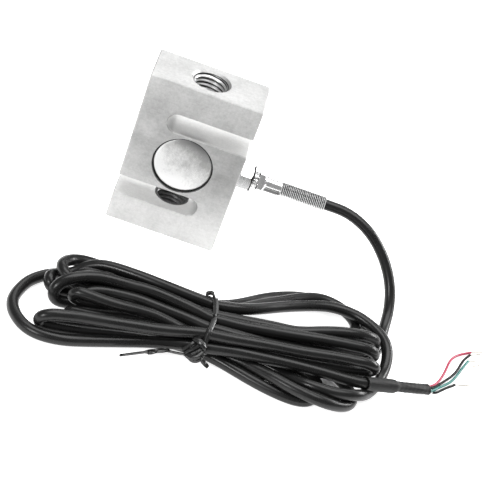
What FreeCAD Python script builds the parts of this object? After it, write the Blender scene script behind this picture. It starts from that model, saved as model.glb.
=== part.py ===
"""S-type load cell: a slotted steel block with a sealed gauge bore, a gland and a tied hank of cable.

Millimetres. Z is the load axis and the block stands on its lower face, with the origin at that face's
centre. X is the block's width: the slots open to +X and -X, and the cable leaves at +X. Y is its depth.
"""
import FreeCAD, Part
import math
import os

Vec = FreeCAD.Vector
X_AXIS, Y_AXIS, Z_AXIS = Vec(1, 0, 0), Vec(0, 1, 0), Vec(0, 0, 1)

# ---- block -------------------------------------------------------------------------------------
BLOCK_WIDTH = 50.8
BLOCK_DEPTH = 25.4
BLOCK_HEIGHT = 76.2
EDGE_BREAK = 0.4            # chamfer on the front and rear outlines
SLOT_HEIGHT = 9.0
SLOT_SPACING = 38.6         # between the two slots' centre planes
SLOT_PAST_CENTRE = 12.5     # how far a slot's round end lies beyond the middle
FLEXURE_WALL = 1.1          # thinnest steel between the gauge bore and a slot
THREAD_ROOT_RADIUS = 8.0    # M16 x 2, at the root of the thread
THREAD_MOUTH_CHAMFER = 0.95

# ---- covers and what they seal -----------------------------------------------------------------
COVER_GAP = 0.8             # sealant ring between cover and bore
COVER_THICKNESS = 1.6
COVER_RECESS = 0.6
COVER_EDGE_BREAK = 0.3
SEALANT_RECESS = 1.0
SEALANT_THICKNESS = 1.2
GAUGE_LENGTH = 5.0          # round the bore
GAUGE_WIDTH = 6.0           # along the bore
GAUGE_THICKNESS = 0.15
GAUGE_TILT = 20.0           # degrees each side of the thinnest wall
BOARD_LENGTH = 11.0
BOARD_HEIGHT = 9.0
BOARD_THICKNESS = 1.0
PAD_SIZE = 1.4
LEAD_RADIUS = 0.4
LEAD_LENGTH = 4.5

# ---- cable and gland ---------------------------------------------------------------------------
CABLE_DIAMETER = 5.0
GLAND_HEIGHT = 36.2         # axis above the lower face
GLAND_FLATS = 11.0
GLAND_HEX_LENGTH = 6.0
GLAND_STUB_RADIUS = 4.0
GLAND_STUB_LENGTH = 8.0
GLAND_THREAD_RADIUS = 3.7
GLAND_THREAD_LENGTH = 5.2
GLAND_CABLE_CLEARANCE = 0.1
PORT_CLEARANCE = 0.2
NUT_START = 2.5             # bare thread between hexagon and nut
NUT_HEX_LENGTH = 3.5
NUT_NECK_RADIUS = 3.45
NUT_NECK_LENGTH = 7.9
NUT_CROWN = 0.6             # chamfer on the hexagons' corners
SEAL_RADIUS = 3.2
SEAL_LENGTH = 3.0
SEAL_STAND = 0.2            # seal proud of the gland's end, pressed by the nut's shoulder
GUARD_WIRE = 0.56
GUARD_PITCH = 0.82
GUARD_VISIBLE = 21.3
GUARD_SOCKET = 2.0          # coils held inside the nut's neck
GUARD_CLEARANCE = 0.02

# ---- hank, tie, cable end ----------------------------------------------------------------------
HANK_HEIGHT = 12.0
HANK_EDGE = 4.0
HANK_SPREAD = 20.0          # how far the turns may bulge past the waist beside the tie
LEAD_ROOM_LENGTH = 30.0     # clear space round the lead before it joins the turns
WAIST_X = 31.5
WAIST_LENGTH = 18.0
WAIST_Y = (-95.2, -64.8)
WAIST_TOP = 15.0
TIE_WIDTH = 2.4
TIE_THICKNESS = 0.9
TIE_TAIL_DIAMETER = 1.5
SLEEVE_START = Vec(102.5, -80.7, 9.6)
SLEEVE_END = Vec(132.6, -60.9, 2.4)
SLEEVE_WALL = 0.45
SLEEVE_FAT_LENGTH = 16.0
SLEEVE_TAPER_LENGTH = 3.0
SLEEVE_THIN_RADIUS = 1.9
TAIL_IN_SLEEVE = 9.0
WIRE_DIAMETER = 1.0
STRAND_DIAMETER = 0.5
WIRE_RING_RADIUS = 1.2

# ---- worked out from the sizes above -----------------------------------------------------------
CABLE_RADIUS = CABLE_DIAMETER / 2
MID_HEIGHT = BLOCK_HEIGHT / 2
BORE_RADIUS = SLOT_SPACING / 2 - SLOT_HEIGHT / 2 - FLEXURE_WALL
COVER_RADIUS = BORE_RADIUS - COVER_GAP
BLOCK_SIDE = BLOCK_WIDTH / 2
GLAND_END = BLOCK_SIDE + GLAND_HEX_LENGTH + GLAND_THREAD_LENGTH
NUT_X = BLOCK_SIDE + GLAND_HEX_LENGTH + NUT_START
NUT_SHOULDER = GLAND_END + SEAL_STAND
NUT_END = NUT_X + NUT_HEX_LENGTH + NUT_NECK_LENGTH
GUARD_END = NUT_END + GUARD_VISIBLE
CABLE_BORE_RADIUS = CABLE_RADIUS + GLAND_CABLE_CLEARANCE
CABLE_INNER_END = BOARD_LENGTH / 2 + LEAD_LENGTH
LEAD_SPREAD = (BOARD_THICKNESS + PAD_SIZE) / 2
LEAD_RISE = 1.2

# Points that the cable's route turns at, and where it is laid on the floor beside the block.
LEAD_ROUTE = [
    Vec(GUARD_END, 0, GLAND_HEIGHT), Vec(78, 0, GLAND_HEIGHT), Vec(90, -3.5, 32.5), Vec(100, -8, 24.5),
    Vec(106.5, -14, 16), Vec(109.3, -21.5, 8.5), Vec(109, -30.5, 3.9), Vec(108.2, -40, 2.5),
]
HANK_OUTLINE = [
    (-52, -99), (-51, -76), (-34, -57), (-4, -55), (WAIST_X, -66), (48, -46), (70, -23), (98, -23),
    (116, -41), (116, -68), (104, -84), (103, -96), (80, -101), (WAIST_X, -94), (-8, -106),
    (-38, -110),
]
HANK_WINDOW = [(56, -55), (74, -42), (96, -43), (106, -56), (82, -61)]
TIE_LONG_TAIL = [Vec(29, -97.5, 8.2), Vec(22, -99.2, 7.4), Vec(13, -103, 5.8), Vec(0.8, -109, 3.8)]
TIE_SHORT_TAIL = [Vec(32, -97.3, 7), Vec(33.5, -99.6, 5.6), Vec(36, -102, 4.6)]
TIE_KNOT_LOW = Vec(28.4, -98.6, 6.2)
TIE_KNOT_SIZE = Vec(5.0, 2.8, 3.4)
WIRE_ROUTES = {
    "wire_red": [(138.4, -52.5, 2.6), (139.6, -43, 1.8), (142, -33.5, 1.0), (147.3, -26, 0.7),
                 (152.2, -22.4, 0.7)],
    "wire_black": [(139.6, -51.5, 0.8), (143, -42, 0.6), (146.8, -33, 0.6), (152, -25.2, 0.6)],
    "wire_green": [(140.9, -51.8, 1.6), (145, -43.5, 1.0), (147.6, -35.5, 0.7), (151.2, -28.8, 0.7)],
    "wire_white": [(141.4, -53.8, 0.8), (146, -47, 0.7), (149, -39, 0.7), (152.6, -32.4, 0.7)],
    "wire_drain": [(141.5, -56.3, 1.4), (146, -52, 1.0), (150, -48.5, 0.7)],
}
WIRE_TIPS = {
    "wire_red": (158.2, -18.6, 0.6), "wire_black": (157, -21, 0.5), "wire_green": (155.6, -24.8, 0.5),
    "wire_white": (156.6, -28.8, 0.5), "wire_drain": (156.4, -44.5, 0.5),
}
WIRE_SEATS = {"wire_red": 20, "wire_black": -50, "wire_green": 90, "wire_white": 230, "wire_drain": 160}


# ---- helpers -----------------------------------------------------------------------------------
def cylinder(radius, start, end):
    """A round bar of one radius from start to end."""
    axis = end - start
    return Part.makeCylinder(radius, axis.Length, start, axis)


def along_x(radius, x0, x1):
    """A round bar on the gland's axis."""
    return cylinder(radius, Vec(x0, 0, GLAND_HEIGHT), Vec(x1, 0, GLAND_HEIGHT))


def along_y(radius, y0, y1):
    """A round bar on the gauge bore's axis."""
    return cylinder(radius, Vec(0, y0, MID_HEIGHT), Vec(0, y1, MID_HEIGHT))


def hexagon(flats, x0, x1, first_corner):
    """A hexagonal bar on the gland's axis, corners crowned, first_corner in degrees from +Z."""
    corner = flats / math.sqrt(3)
    points = []
    for step in range(7):
        angle = math.radians(first_corner + 60 * step)
        points.append(Vec(x0, corner * math.sin(angle), GLAND_HEIGHT + corner * math.cos(angle)))
    bar = Part.Face(Part.makePolygon(points)).extrude(Vec(x1 - x0, 0, 0))
    inner = corner - NUT_CROWN
    crown = [Vec(x0, 0, 0), Vec(x0, 0, inner), Vec(x0 + NUT_CROWN / 2, 0, corner),
             Vec(x1 - NUT_CROWN / 2, 0, corner), Vec(x1, 0, inner), Vec(x1, 0, 0), Vec(x0, 0, 0)]
    envelope = Part.Face(Part.makePolygon(crown)).revolve(Vec(0, 0, 0), X_AXIS, 360)
    envelope.translate(Vec(0, 0, GLAND_HEIGHT))
    return bar.common(envelope)


def rounded_path(points, radii):
    """Edges along points, each inner corner turned by a tangent arc of its own radius."""
    edges = []
    last = points[0]
    for before, corner, after, radius in zip(points, points[1:], points[2:], radii):
        way_in = (corner - before).normalize()
        way_out = (after - corner).normalize()
        turn = way_in.getAngle(way_out)
        cut = radius * math.tan(turn / 2)
        start, end = corner - way_in * cut, corner + way_out * cut
        inward = (way_out - way_in).normalize()
        middle = corner + inward * (radius / math.cos(turn / 2) - radius)
        if (start - last).Length > 1e-6:
            edges.append(Part.LineSegment(last, start).toShape())
        edges.append(Part.Arc(start, middle, end).toShape())
        last = end
    if (points[-1] - last).Length > 1e-6:
        edges.append(Part.LineSegment(last, points[-1]).toShape())
    return edges


def largest_radii(points):
    """For each inner corner, nearly the largest tangent arc that its two runs allow."""
    radii = []
    for before, corner, after in zip(points, points[1:], points[2:]):
        shorter = min((corner - before).Length, (after - corner).Length)
        turn = (corner - before).getAngle(after - corner)
        radii.append(0.45 * shorter / math.tan(turn / 2))
    return radii


def tube(name, points, diameter):
    """A round cord along straight runs and large tangent arcs."""
    radii = largest_radii(points)
    path = Part.Wire(rounded_path(points, radii))
    ring = Part.Wire(Part.Circle(points[0], points[1] - points[0], diameter / 2).toShape())
    solid = path.makePipeShell([ring], True, True)
    expected = math.pi * (diameter / 2) ** 2 * path.Length
    print(name, "length %.1f" % path.Length, "volume ratio %.4f" % (solid.Volume / expected),
          "radii", " ".join("%.1f" % radius for radius in radii))
    return solid


def rounded_outline(corners, z):
    """A closed face at height z, from its corners, each turned by a large tangent arc."""
    ring = [Vec(x, y, z) for x, y in corners]
    middle = (ring[0] + ring[-1]) * 0.5
    loop = [middle] + ring + [middle]
    return Part.Face(Part.Wire(rounded_path(loop, largest_radii(loop))))


# ---- block -------------------------------------------------------------------------------------
def slot_cutter(side, centre_z):
    """One slot: open on the given side, with a full round end past the middle."""
    radius = SLOT_HEIGHT / 2
    round_x = -side * (SLOT_PAST_CENTRE - radius)
    outside = side * (BLOCK_SIDE + SLOT_HEIGHT)
    low = Vec(min(round_x, outside), -BLOCK_DEPTH, centre_z - radius)
    box = Part.makeBox(abs(outside - round_x), 2 * BLOCK_DEPTH, SLOT_HEIGHT, low)
    end = cylinder(radius, Vec(round_x, -BLOCK_DEPTH, centre_z), Vec(round_x, BLOCK_DEPTH, centre_z))
    return box.fuse(end).removeSplitter()


def slot_centres():
    """Heights of the upper and the lower slot."""
    return MID_HEIGHT + SLOT_SPACING / 2, MID_HEIGHT - SLOT_SPACING / 2


def threaded_hole(mouth_z, inward):
    """A hole from one end face into its slot, with a chamfered mouth."""
    arm = MID_HEIGHT - SLOT_SPACING / 2 - SLOT_HEIGHT / 2
    hole = cylinder(THREAD_ROOT_RADIUS, Vec(0, 0, mouth_z), Vec(0, 0, mouth_z + inward * (arm + 1)))
    cone = Part.makeCone(THREAD_ROOT_RADIUS + THREAD_MOUTH_CHAMFER, THREAD_ROOT_RADIUS,
                         THREAD_MOUTH_CHAMFER, Vec(0, 0, mouth_z), Vec(0, 0, inward))
    return hole.fuse(cone)


def on_outer_faces(edge):
    """Whether an edge of the plain S lies wholly in the front or the rear face."""
    depths = [abs(vertex.Y) for vertex in edge.Vertexes]
    return min(depths) > BLOCK_DEPTH / 2 - 1e-4


def load_cell_body():
    """The slotted block with its bores, all in one piece of steel."""
    block = Part.makeBox(BLOCK_WIDTH, BLOCK_DEPTH, BLOCK_HEIGHT, Vec(-BLOCK_SIDE, -BLOCK_DEPTH / 2, 0))
    upper, lower = slot_centres()
    block = block.cut([slot_cutter(1, upper), slot_cutter(-1, lower)])
    block = block.makeChamfer(EDGE_BREAK, [edge for edge in block.Edges if on_outer_faces(edge)])
    port_start = math.sqrt(BORE_RADIUS ** 2 - (MID_HEIGHT - GLAND_HEIGHT) ** 2) - 1
    stub_hole = along_x(GLAND_STUB_RADIUS, BLOCK_SIDE - GLAND_STUB_LENGTH, BLOCK_SIDE + 1)
    port = along_x(CABLE_RADIUS + PORT_CLEARANCE, port_start - 1, BLOCK_SIDE)
    bore = along_y(BORE_RADIUS, -BLOCK_DEPTH, BLOCK_DEPTH)
    return block.cut([threaded_hole(BLOCK_HEIGHT, -1), threaded_hole(0, 1), bore, stub_hole, port])


# ---- sealed gauge bore -------------------------------------------------------------------------
def cover(side):
    """A round cover plate, a little below the block's face."""
    outer = side * (BLOCK_DEPTH / 2 - COVER_RECESS)
    plate = along_y(COVER_RADIUS, outer, outer - side * COVER_THICKNESS)
    rim = [edge for edge in plate.Edges if abs(edge.CenterOfMass.y - outer) < 1e-6 and len(edge.Vertexes) == 1]
    return plate.makeChamfer(COVER_EDGE_BREAK, rim)


def sealant(side):
    """The ring of sealant that holds a cover in the bore."""
    outer = side * (BLOCK_DEPTH / 2 - SEALANT_RECESS)
    inner = outer - side * SEALANT_THICKNESS
    return along_y(BORE_RADIUS, outer, inner).cut(along_y(COVER_RADIUS, outer, inner))


def gauge(angle):
    """A strain gauge bonded to the bore's wall, at an angle from +X."""
    spread = math.degrees(GAUGE_LENGTH / BORE_RADIUS)
    low = Vec(BORE_RADIUS - GAUGE_THICKNESS, -GAUGE_WIDTH / 2, 0)
    high = Vec(BORE_RADIUS, GAUGE_WIDTH / 2, 0)
    corners = [low, Vec(high.x, low.y, 0), high, Vec(low.x, high.y, 0), low]
    patch = Part.Face(Part.makePolygon(corners)).revolve(Vec(0, 0, 0), Y_AXIS, spread)
    patch.rotate(Vec(0, 0, 0), Y_AXIS, -angle - spread / 2)
    patch.translate(Vec(0, 0, MID_HEIGHT))
    return patch


def gauges():
    """Four gauges, either side of the thin wall above and below the bore."""
    return {
        "gauge_upper_right": gauge(90 - GAUGE_TILT), "gauge_upper_left": gauge(90 + GAUGE_TILT),
        "gauge_lower_left": gauge(270 - GAUGE_TILT), "gauge_lower_right": gauge(270 + GAUGE_TILT),
    }


def lead_places():
    """Depth and height of the four conductors between cable and board."""
    return [(side * LEAD_SPREAD, GLAND_HEIGHT + rise) for side in (-1, 1) for rise in (-LEAD_RISE, LEAD_RISE)]


def terminal_board():
    """The small board where the gauges and the cable's conductors are joined, with its solder pads."""
    low = Vec(-BOARD_LENGTH / 2, -BOARD_THICKNESS / 2, GLAND_HEIGHT - BOARD_HEIGHT / 2)
    board = Part.makeBox(BOARD_LENGTH, BOARD_THICKNESS, BOARD_HEIGHT, low)
    for y, z in lead_places():
        corner = Vec(BOARD_LENGTH / 2 - PAD_SIZE, y - PAD_SIZE / 2, z - PAD_SIZE / 2)
        board = board.fuse(Part.makeBox(PAD_SIZE, PAD_SIZE, PAD_SIZE, corner))
    return board.removeSplitter()


def inner_leads():
    """The cable's four conductors, from its cut end to the board's pads."""
    start = BOARD_LENGTH / 2
    bars = [cylinder(LEAD_RADIUS, Vec(start, y, z), Vec(start + LEAD_LENGTH, y, z))
            for y, z in lead_places()]
    return Part.makeCompound(bars)


def cavity_potting(inside):
    """Soft potting that fills the bore round everything inside it."""
    depth = BLOCK_DEPTH / 2 - SEALANT_RECESS - SEALANT_THICKNESS
    return along_y(BORE_RADIUS, -depth, depth).cut(inside)


# ---- gland and guard ---------------------------------------------------------------------------
def gland_body():
    """Hexagon, stub in the block and thread for the nut, turned from one bar."""
    stub = along_x(GLAND_STUB_RADIUS, BLOCK_SIDE - GLAND_STUB_LENGTH, BLOCK_SIDE)
    flats = hexagon(GLAND_FLATS, BLOCK_SIDE, BLOCK_SIDE + GLAND_HEX_LENGTH, 30)
    thread = along_x(GLAND_THREAD_RADIUS, BLOCK_SIDE + GLAND_HEX_LENGTH, GLAND_END)
    way = along_x(CABLE_BORE_RADIUS, BLOCK_SIDE - GLAND_STUB_LENGTH - 1, GLAND_END + 1)
    seal_seat = along_x(SEAL_RADIUS, NUT_SHOULDER - SEAL_LENGTH, GLAND_END + 1)
    return stub.fuse([flats, thread]).cut([way, seal_seat]).removeSplitter()


def gland_seal():
    """Rubber ring squeezed on the cable by the nut."""
    return along_x(SEAL_RADIUS, NUT_SHOULDER - SEAL_LENGTH, NUT_SHOULDER).cut(
        along_x(CABLE_RADIUS, NUT_SHOULDER - SEAL_LENGTH, NUT_SHOULDER))


def gland_nut():
    """Cap nut with a smooth neck that holds the guard's first coils."""
    flats = hexagon(GLAND_FLATS, NUT_X, NUT_X + NUT_HEX_LENGTH, 0)
    neck = along_x(NUT_NECK_RADIUS, NUT_X + NUT_HEX_LENGTH, NUT_END)
    thread = along_x(GLAND_THREAD_RADIUS, NUT_X, NUT_SHOULDER)
    way = along_x(CABLE_BORE_RADIUS, NUT_X, NUT_END)
    socket = along_x(CABLE_RADIUS + GUARD_WIRE + 2 * GUARD_CLEARANCE, NUT_END - GUARD_SOCKET, NUT_END)
    return flats.fuse(neck).cut([thread, way, socket]).removeSplitter()


def spring_guard():
    """Close-wound wire guard that keeps the cable from kinking at the gland."""
    length = GUARD_VISIBLE + GUARD_SOCKET - GUARD_WIRE
    mean = CABLE_RADIUS + GUARD_CLEARANCE + GUARD_WIRE / 2
    helix = Part.makeHelix(GUARD_PITCH, length, mean)
    half = GUARD_WIRE / 2
    section = Part.makePolygon([Vec(mean - half, 0, 0), Vec(mean, 0, half), Vec(mean + half, 0, 0),
                                Vec(mean, 0, -half), Vec(mean - half, 0, 0)])
    coil = Part.Wire(helix).makePipeShell([section], True, True)
    coil.rotate(Vec(0, 0, 0), Y_AXIS, 90)
    coil.translate(Vec(NUT_END - GUARD_SOCKET + half, 0, GLAND_HEIGHT))
    return coil


def cable_inlet():
    """The cable's straight stretch, from inside the bore to the guard's end."""
    return along_x(CABLE_RADIUS, CABLE_INNER_END, GUARD_END)


# ---- hank, tie and cable end -------------------------------------------------------------------
def waist_block(grow, length):
    """The bundle where it is tied, larger all round by grow."""
    low = Vec(WAIST_X - length / 2, WAIST_Y[0] - grow, TIE_THICKNESS - grow)
    block = Part.makeBox(length, WAIST_Y[1] - WAIST_Y[0] + 2 * grow, WAIST_TOP - TIE_THICKNESS + 2 * grow, low)
    along = [edge for edge in block.Edges if abs(edge.tangentAt(edge.FirstParameter).x) > 0.99]
    return block.makeFillet(HANK_EDGE + grow, along)


def tie_band():
    """The ring of the tie round the waist."""
    return waist_block(TIE_THICKNESS, TIE_WIDTH).cut(waist_block(0, TIE_WIDTH))


def cable_hank(sleeve):
    """The outer shape of the folded turns, flat on the floor and narrow at the tie."""
    slab = rounded_outline(HANK_OUTLINE, 0).extrude(Vec(0, 0, HANK_HEIGHT))
    top = [edge for edge in slab.Edges if edge.BoundBox.ZMin > HANK_HEIGHT - 1e-4]
    slab = slab.makeFillet(HANK_EDGE / 2, top)
    window = rounded_outline(HANK_WINDOW, -1).extrude(Vec(0, 0, HANK_HEIGHT + 2))
    low = Vec(WAIST_X - TIE_WIDTH / 2, WAIST_Y[0] - HANK_SPREAD, -HANK_HEIGHT)
    gap = Part.makeBox(TIE_WIDTH, WAIST_Y[1] - WAIST_Y[0] + 2 * HANK_SPREAD, 3 * HANK_HEIGHT, low)
    lead_way = (LEAD_ROUTE[-1] - LEAD_ROUTE[-2]).normalize()
    lead_room = cylinder(2 * CABLE_DIAMETER, LEAD_ROUTE[-1], LEAD_ROUTE[-1] - lead_way * LEAD_ROOM_LENGTH)
    waist = waist_block(0, WAIST_LENGTH)
    return slab.cut([window, gap, lead_room, sleeve]).fuse(waist).removeSplitter()


def twist_tie():
    """The wire tie: band, twisted knot and two tails."""
    knot = Part.makeBox(TIE_KNOT_SIZE.x, TIE_KNOT_SIZE.y, TIE_KNOT_SIZE.z, TIE_KNOT_LOW)
    knot = knot.makeFillet(0.6, knot.Edges)
    long_tail = tube("tie long tail", TIE_LONG_TAIL, TIE_TAIL_DIAMETER)
    short_tail = tube("tie short tail", TIE_SHORT_TAIL, TIE_TAIL_DIAMETER)
    return tie_band().fuse([knot, long_tail, short_tail])


def sleeve_frame():
    """Unit vectors along the sleeve, level across it, and up from it."""
    along = (SLEEVE_END - SLEEVE_START).normalize()
    across = Z_AXIS.cross(along).normalize()
    return along, across, along.cross(across)


def sleeve_outline(fat, thin):
    """The sleeve's outside as a solid of revolution, at its own place."""
    length = (SLEEVE_END - SLEEVE_START).Length
    taper = SLEEVE_FAT_LENGTH + SLEEVE_TAPER_LENGTH
    profile = [Vec(0, 0, 0), Vec(fat, 0, 0), Vec(fat, 0, SLEEVE_FAT_LENGTH), Vec(thin, 0, taper),
               Vec(thin, 0, length), Vec(0, 0, length), Vec(0, 0, 0)]
    solid = Part.Face(Part.makePolygon(profile)).revolve(Vec(0, 0, 0), Z_AXIS, 360)
    along = sleeve_frame()[0]
    solid.Placement = FreeCAD.Placement(SLEEVE_START, FreeCAD.Rotation(Z_AXIS, along))
    return solid


def end_sleeve():
    """Shrunk sleeve over the cable's end, narrow where only the wires are inside."""
    along = sleeve_frame()[0]
    way = cylinder(CABLE_RADIUS, SLEEVE_START - along, SLEEVE_START + along * TAIL_IN_SLEEVE)
    return sleeve_outline(CABLE_RADIUS + SLEEVE_WALL, SLEEVE_THIN_RADIUS).cut(way)


def cable_tail():
    """The cable's last bit, from the hank into the sleeve."""
    along = sleeve_frame()[0]
    return cylinder(CABLE_RADIUS, SLEEVE_START - along * 2, SLEEVE_START + along * TAIL_IN_SLEEVE)


def end_wire(name):
    """One insulated conductor and its bare tip, from the sleeve's end."""
    along, across, up = sleeve_frame()
    seat = math.radians(WIRE_SEATS[name])
    offset = (across * math.cos(seat) + up * math.sin(seat)) * WIRE_RING_RADIUS
    start = SLEEVE_END + offset
    route = [start, start + along * 4.5] + [Vec(*point) for point in WIRE_ROUTES[name]]
    insulated = tube(name, route, WIRE_DIAMETER)
    direction = (Vec(*WIRE_TIPS[name]) - route[-1])
    tip = cylinder(STRAND_DIAMETER / 2, route[-1] - direction.normalize() * 0.3, Vec(*WIRE_TIPS[name]))
    return insulated.fuse(tip)


def main():
    inside = dict(gauges())
    inside["terminal_board"] = terminal_board()
    inside["inner_leads"] = inner_leads()
    inlet = cable_inlet()
    tail = cable_tail()
    sleeve = end_sleeve()
    keep_clear = sleeve_outline(CABLE_RADIUS + SLEEVE_WALL, SLEEVE_THIN_RADIUS).fuse(tail)
    parts = {
        "load_cell_body": load_cell_body(),
        "front_cover": cover(-1), "rear_cover": cover(1),
        "front_sealant": sealant(-1), "rear_sealant": sealant(1),
        **inside,
        "cavity_potting": cavity_potting(list(inside.values()) + [inlet]),
        "gland_body": gland_body(), "gland_seal": gland_seal(), "gland_nut": gland_nut(),
        "spring_guard": spring_guard(),
        "cable_inlet": inlet,
        "cable_lead": tube("cable_lead", LEAD_ROUTE, CABLE_DIAMETER),
        "cable_hank": cable_hank(keep_clear),
        "twist_tie": twist_tie(),
        "cable_tail": tail,
        "end_sleeve": sleeve,
    }
    for name in WIRE_ROUTES:
        parts[name] = end_wire(name)
    os.makedirs("parts", exist_ok=True)
    for name, shape in parts.items():
        print(name, "valid", shape.isValid(), "solids", len(shape.Solids), "volume %.1f" % shape.Volume)
        shape.exportStep("parts/%s.step" % name)


main()
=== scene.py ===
"""Looks of the S-type load cell: satin steel, sealed covers, gland, coil guard and a tied cable hank.

Sizes below are millimetres, as in the part's source, and reach Blender in metres through `mm`. X is the
block's width, Y its depth with the front at -Y, and Z its load axis.
"""
import math

import bpy
import numpy as np
from mathutils import Matrix, Vector


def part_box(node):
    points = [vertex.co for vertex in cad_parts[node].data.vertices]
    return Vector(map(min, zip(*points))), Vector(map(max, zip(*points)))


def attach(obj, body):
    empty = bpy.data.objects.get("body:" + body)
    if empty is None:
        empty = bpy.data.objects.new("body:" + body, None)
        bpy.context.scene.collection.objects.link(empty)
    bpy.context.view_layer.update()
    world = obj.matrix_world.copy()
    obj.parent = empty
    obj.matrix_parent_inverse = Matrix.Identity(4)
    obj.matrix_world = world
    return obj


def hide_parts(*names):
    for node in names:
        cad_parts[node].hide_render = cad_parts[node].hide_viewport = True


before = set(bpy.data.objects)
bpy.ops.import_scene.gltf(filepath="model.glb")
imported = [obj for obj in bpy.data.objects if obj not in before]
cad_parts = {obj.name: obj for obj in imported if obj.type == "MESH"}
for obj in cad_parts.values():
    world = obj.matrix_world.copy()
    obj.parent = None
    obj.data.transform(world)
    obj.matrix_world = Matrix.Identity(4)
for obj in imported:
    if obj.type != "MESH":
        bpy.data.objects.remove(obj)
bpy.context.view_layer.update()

MM = 0.001
BODY = "root"

# ---- sizes that the frame gives ----------------------------------------------------------------
BLOCK_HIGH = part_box("load_cell_body")[1] / MM
GUARD_LOW, GUARD_HIGH = (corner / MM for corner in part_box("spring_guard"))
NUT_LOW, NUT_HIGH = (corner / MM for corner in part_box("gland_nut"))
GLAND_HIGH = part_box("gland_body")[1] / MM
COVER_LOW, COVER_HIGH = (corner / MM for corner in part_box("front_cover"))
SEALANT_LOW, SEALANT_HIGH = (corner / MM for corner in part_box("front_sealant"))
INLET_LOW, INLET_HIGH = (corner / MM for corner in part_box("cable_inlet"))

BLOCK_SIDE = BLOCK_HIGH.x
BLOCK_TOP = BLOCK_HIGH.z
GLAND_HEIGHT = (INLET_LOW.z + INLET_HIGH.z) / 2
CABLE_DIAMETER = INLET_HIGH.z - INLET_LOW.z
CABLE_RADIUS = CABLE_DIAMETER / 2
COVER_RADIUS = (COVER_HIGH.x - COVER_LOW.x) / 2
BORE_RADIUS = (SEALANT_HIGH.x - SEALANT_LOW.x) / 2
MID_HEIGHT = (SEALANT_LOW.z + SEALANT_HIGH.z) / 2

# ---- threads -----------------------------------------------------------------------------------
THREAD_ROOT_RADIUS = 8.0        # M16 x 2 in both end faces
THREAD_CREST_RADIUS = 6.92
THREAD_PITCH = 2.0
THREAD_MOUTH = 0.95             # depth of the mouth's chamfer
THREAD_LIFT = 0.03              # how far the thread's root stands off the tapped hole's wall
THREAD_BACKING = 0.06           # how far the skin's back is sunk in the wall
THREAD_STEEPNESS = 1.25         # over 1, a ridge has a flat crest
THREAD_ROOT_FLAT = 0.06         # how far the ridges are sunk, which leaves a flat root
THREAD_POINTS_AROUND = 72
THREAD_ROWS_A_TURN = 14
ARM_HEIGHT = 14.3               # from an end face to its slot
GLAND_HEX_END = BLOCK_SIDE + 6.0
GLAND_THREAD_ROOT = 3.68
GLAND_THREAD_CREST = 4.1
GLAND_THREAD_PITCH = 0.9
GLAND_THREAD_BACKING = 0.3

# ---- gland, covers and guard -------------------------------------------------------------------
FITTING_FLATS = 11.0
NUT_FLATS = 11.6
NUT_HEX_LENGTH = 3.5
NUT_NECK_RADIUS = 3.45
WASHER_RADIUS = 6.15
WASHER_THICKNESS = 0.35
HEX_CROWN = 0.55                # how far along the bar the corners are turned off
HEX_CROWN_START = 0.12          # how far inside the flats the crown starts at the end
HEX_CROWN_SLOPE = 1.5
GLAND_POINTS_AROUND = 144
GLAND_BORE_SLACK = 0.1
WASHER_ROUND = 0.1
COVER_DOME = 0.32
COVER_RIM = 0.22
SEALANT_DEPTH = 1.0             # how far the bead reaches in from the block's face
GUARD_WIRE = 0.56
GUARD_PITCH = 0.82
GUARD_SLACK = 0.2               # the coil's free play round the cable
GUARD_STEPS_A_TURN = 30
GUARD_FULLNESS = 1.04           # the drawn wire's thickness over the guard wire's
GUARD_POINTS_AROUND = 10

# ---- cable: from the bore through the gland, down to the floor, and into the hank ---------------
INLET_ROUTE = [(10, 0, 36.2), (38, 0, 36.2)]
LEAD_ROUTE = [
    (66.6, 0, 36.2), (78, 0, 36.2), (90, -3.5, 32.5), (100, -8, 24.5),
    (106.5, -14, 16), (109.3, -21.5, 8.5), (109, -30.5, 3.9), (108.2, -40, 2.5),
]

# Depth and height of the eighteen passes that the tie holds, each row from the front.
TIE_X = 31.5                    # the tie's plane across the hank
TIE_ROWS = {
    "low": [(-87.5, 2.5), (-82.6, 2.5), (-77.7, 2.5), (-72.9, 2.5), (-68.1, 2.5), (-63.2, 2.6)],
    "mid": [(-90.0, 6.9), (-85.0, 7.1), (-80.0, 6.9), (-75.1, 6.9), (-70.2, 7.2), (-65.3, 7.4), (-60.4, 6.9)],
    "top": [(-87.1, 11.9), (-82.2, 11.3), (-77.6, 12.9), (-73.0, 11.3), (-68.4, 12.9)],
}
HANK_STEP = 5.0                 # between the worked-out points of the turns
CURVE_STEPS = 24                # between two of the hank's route points
SHARPEST_BEND = 0.58            # of a step: how far a point may stand off its neighbours' middle
SETTLE_ROUNDS = 260
SETTLE_LOOK_EVERY = 8           # rounds between looks for stretches that come near each other
SETTLE_LOOK_REACH = 7           # past a diameter: how far such a look goes
SETTLE_NEIGHBOURS = 3           # steps along the cable that don't push each other
SETTLE_STIFFNESS = 0.3
SETTLE_PUSH = 0.6
SETTLE_PULL = 0.25
TINY = 1e-6
PARALLEL = 1e-9

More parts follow.
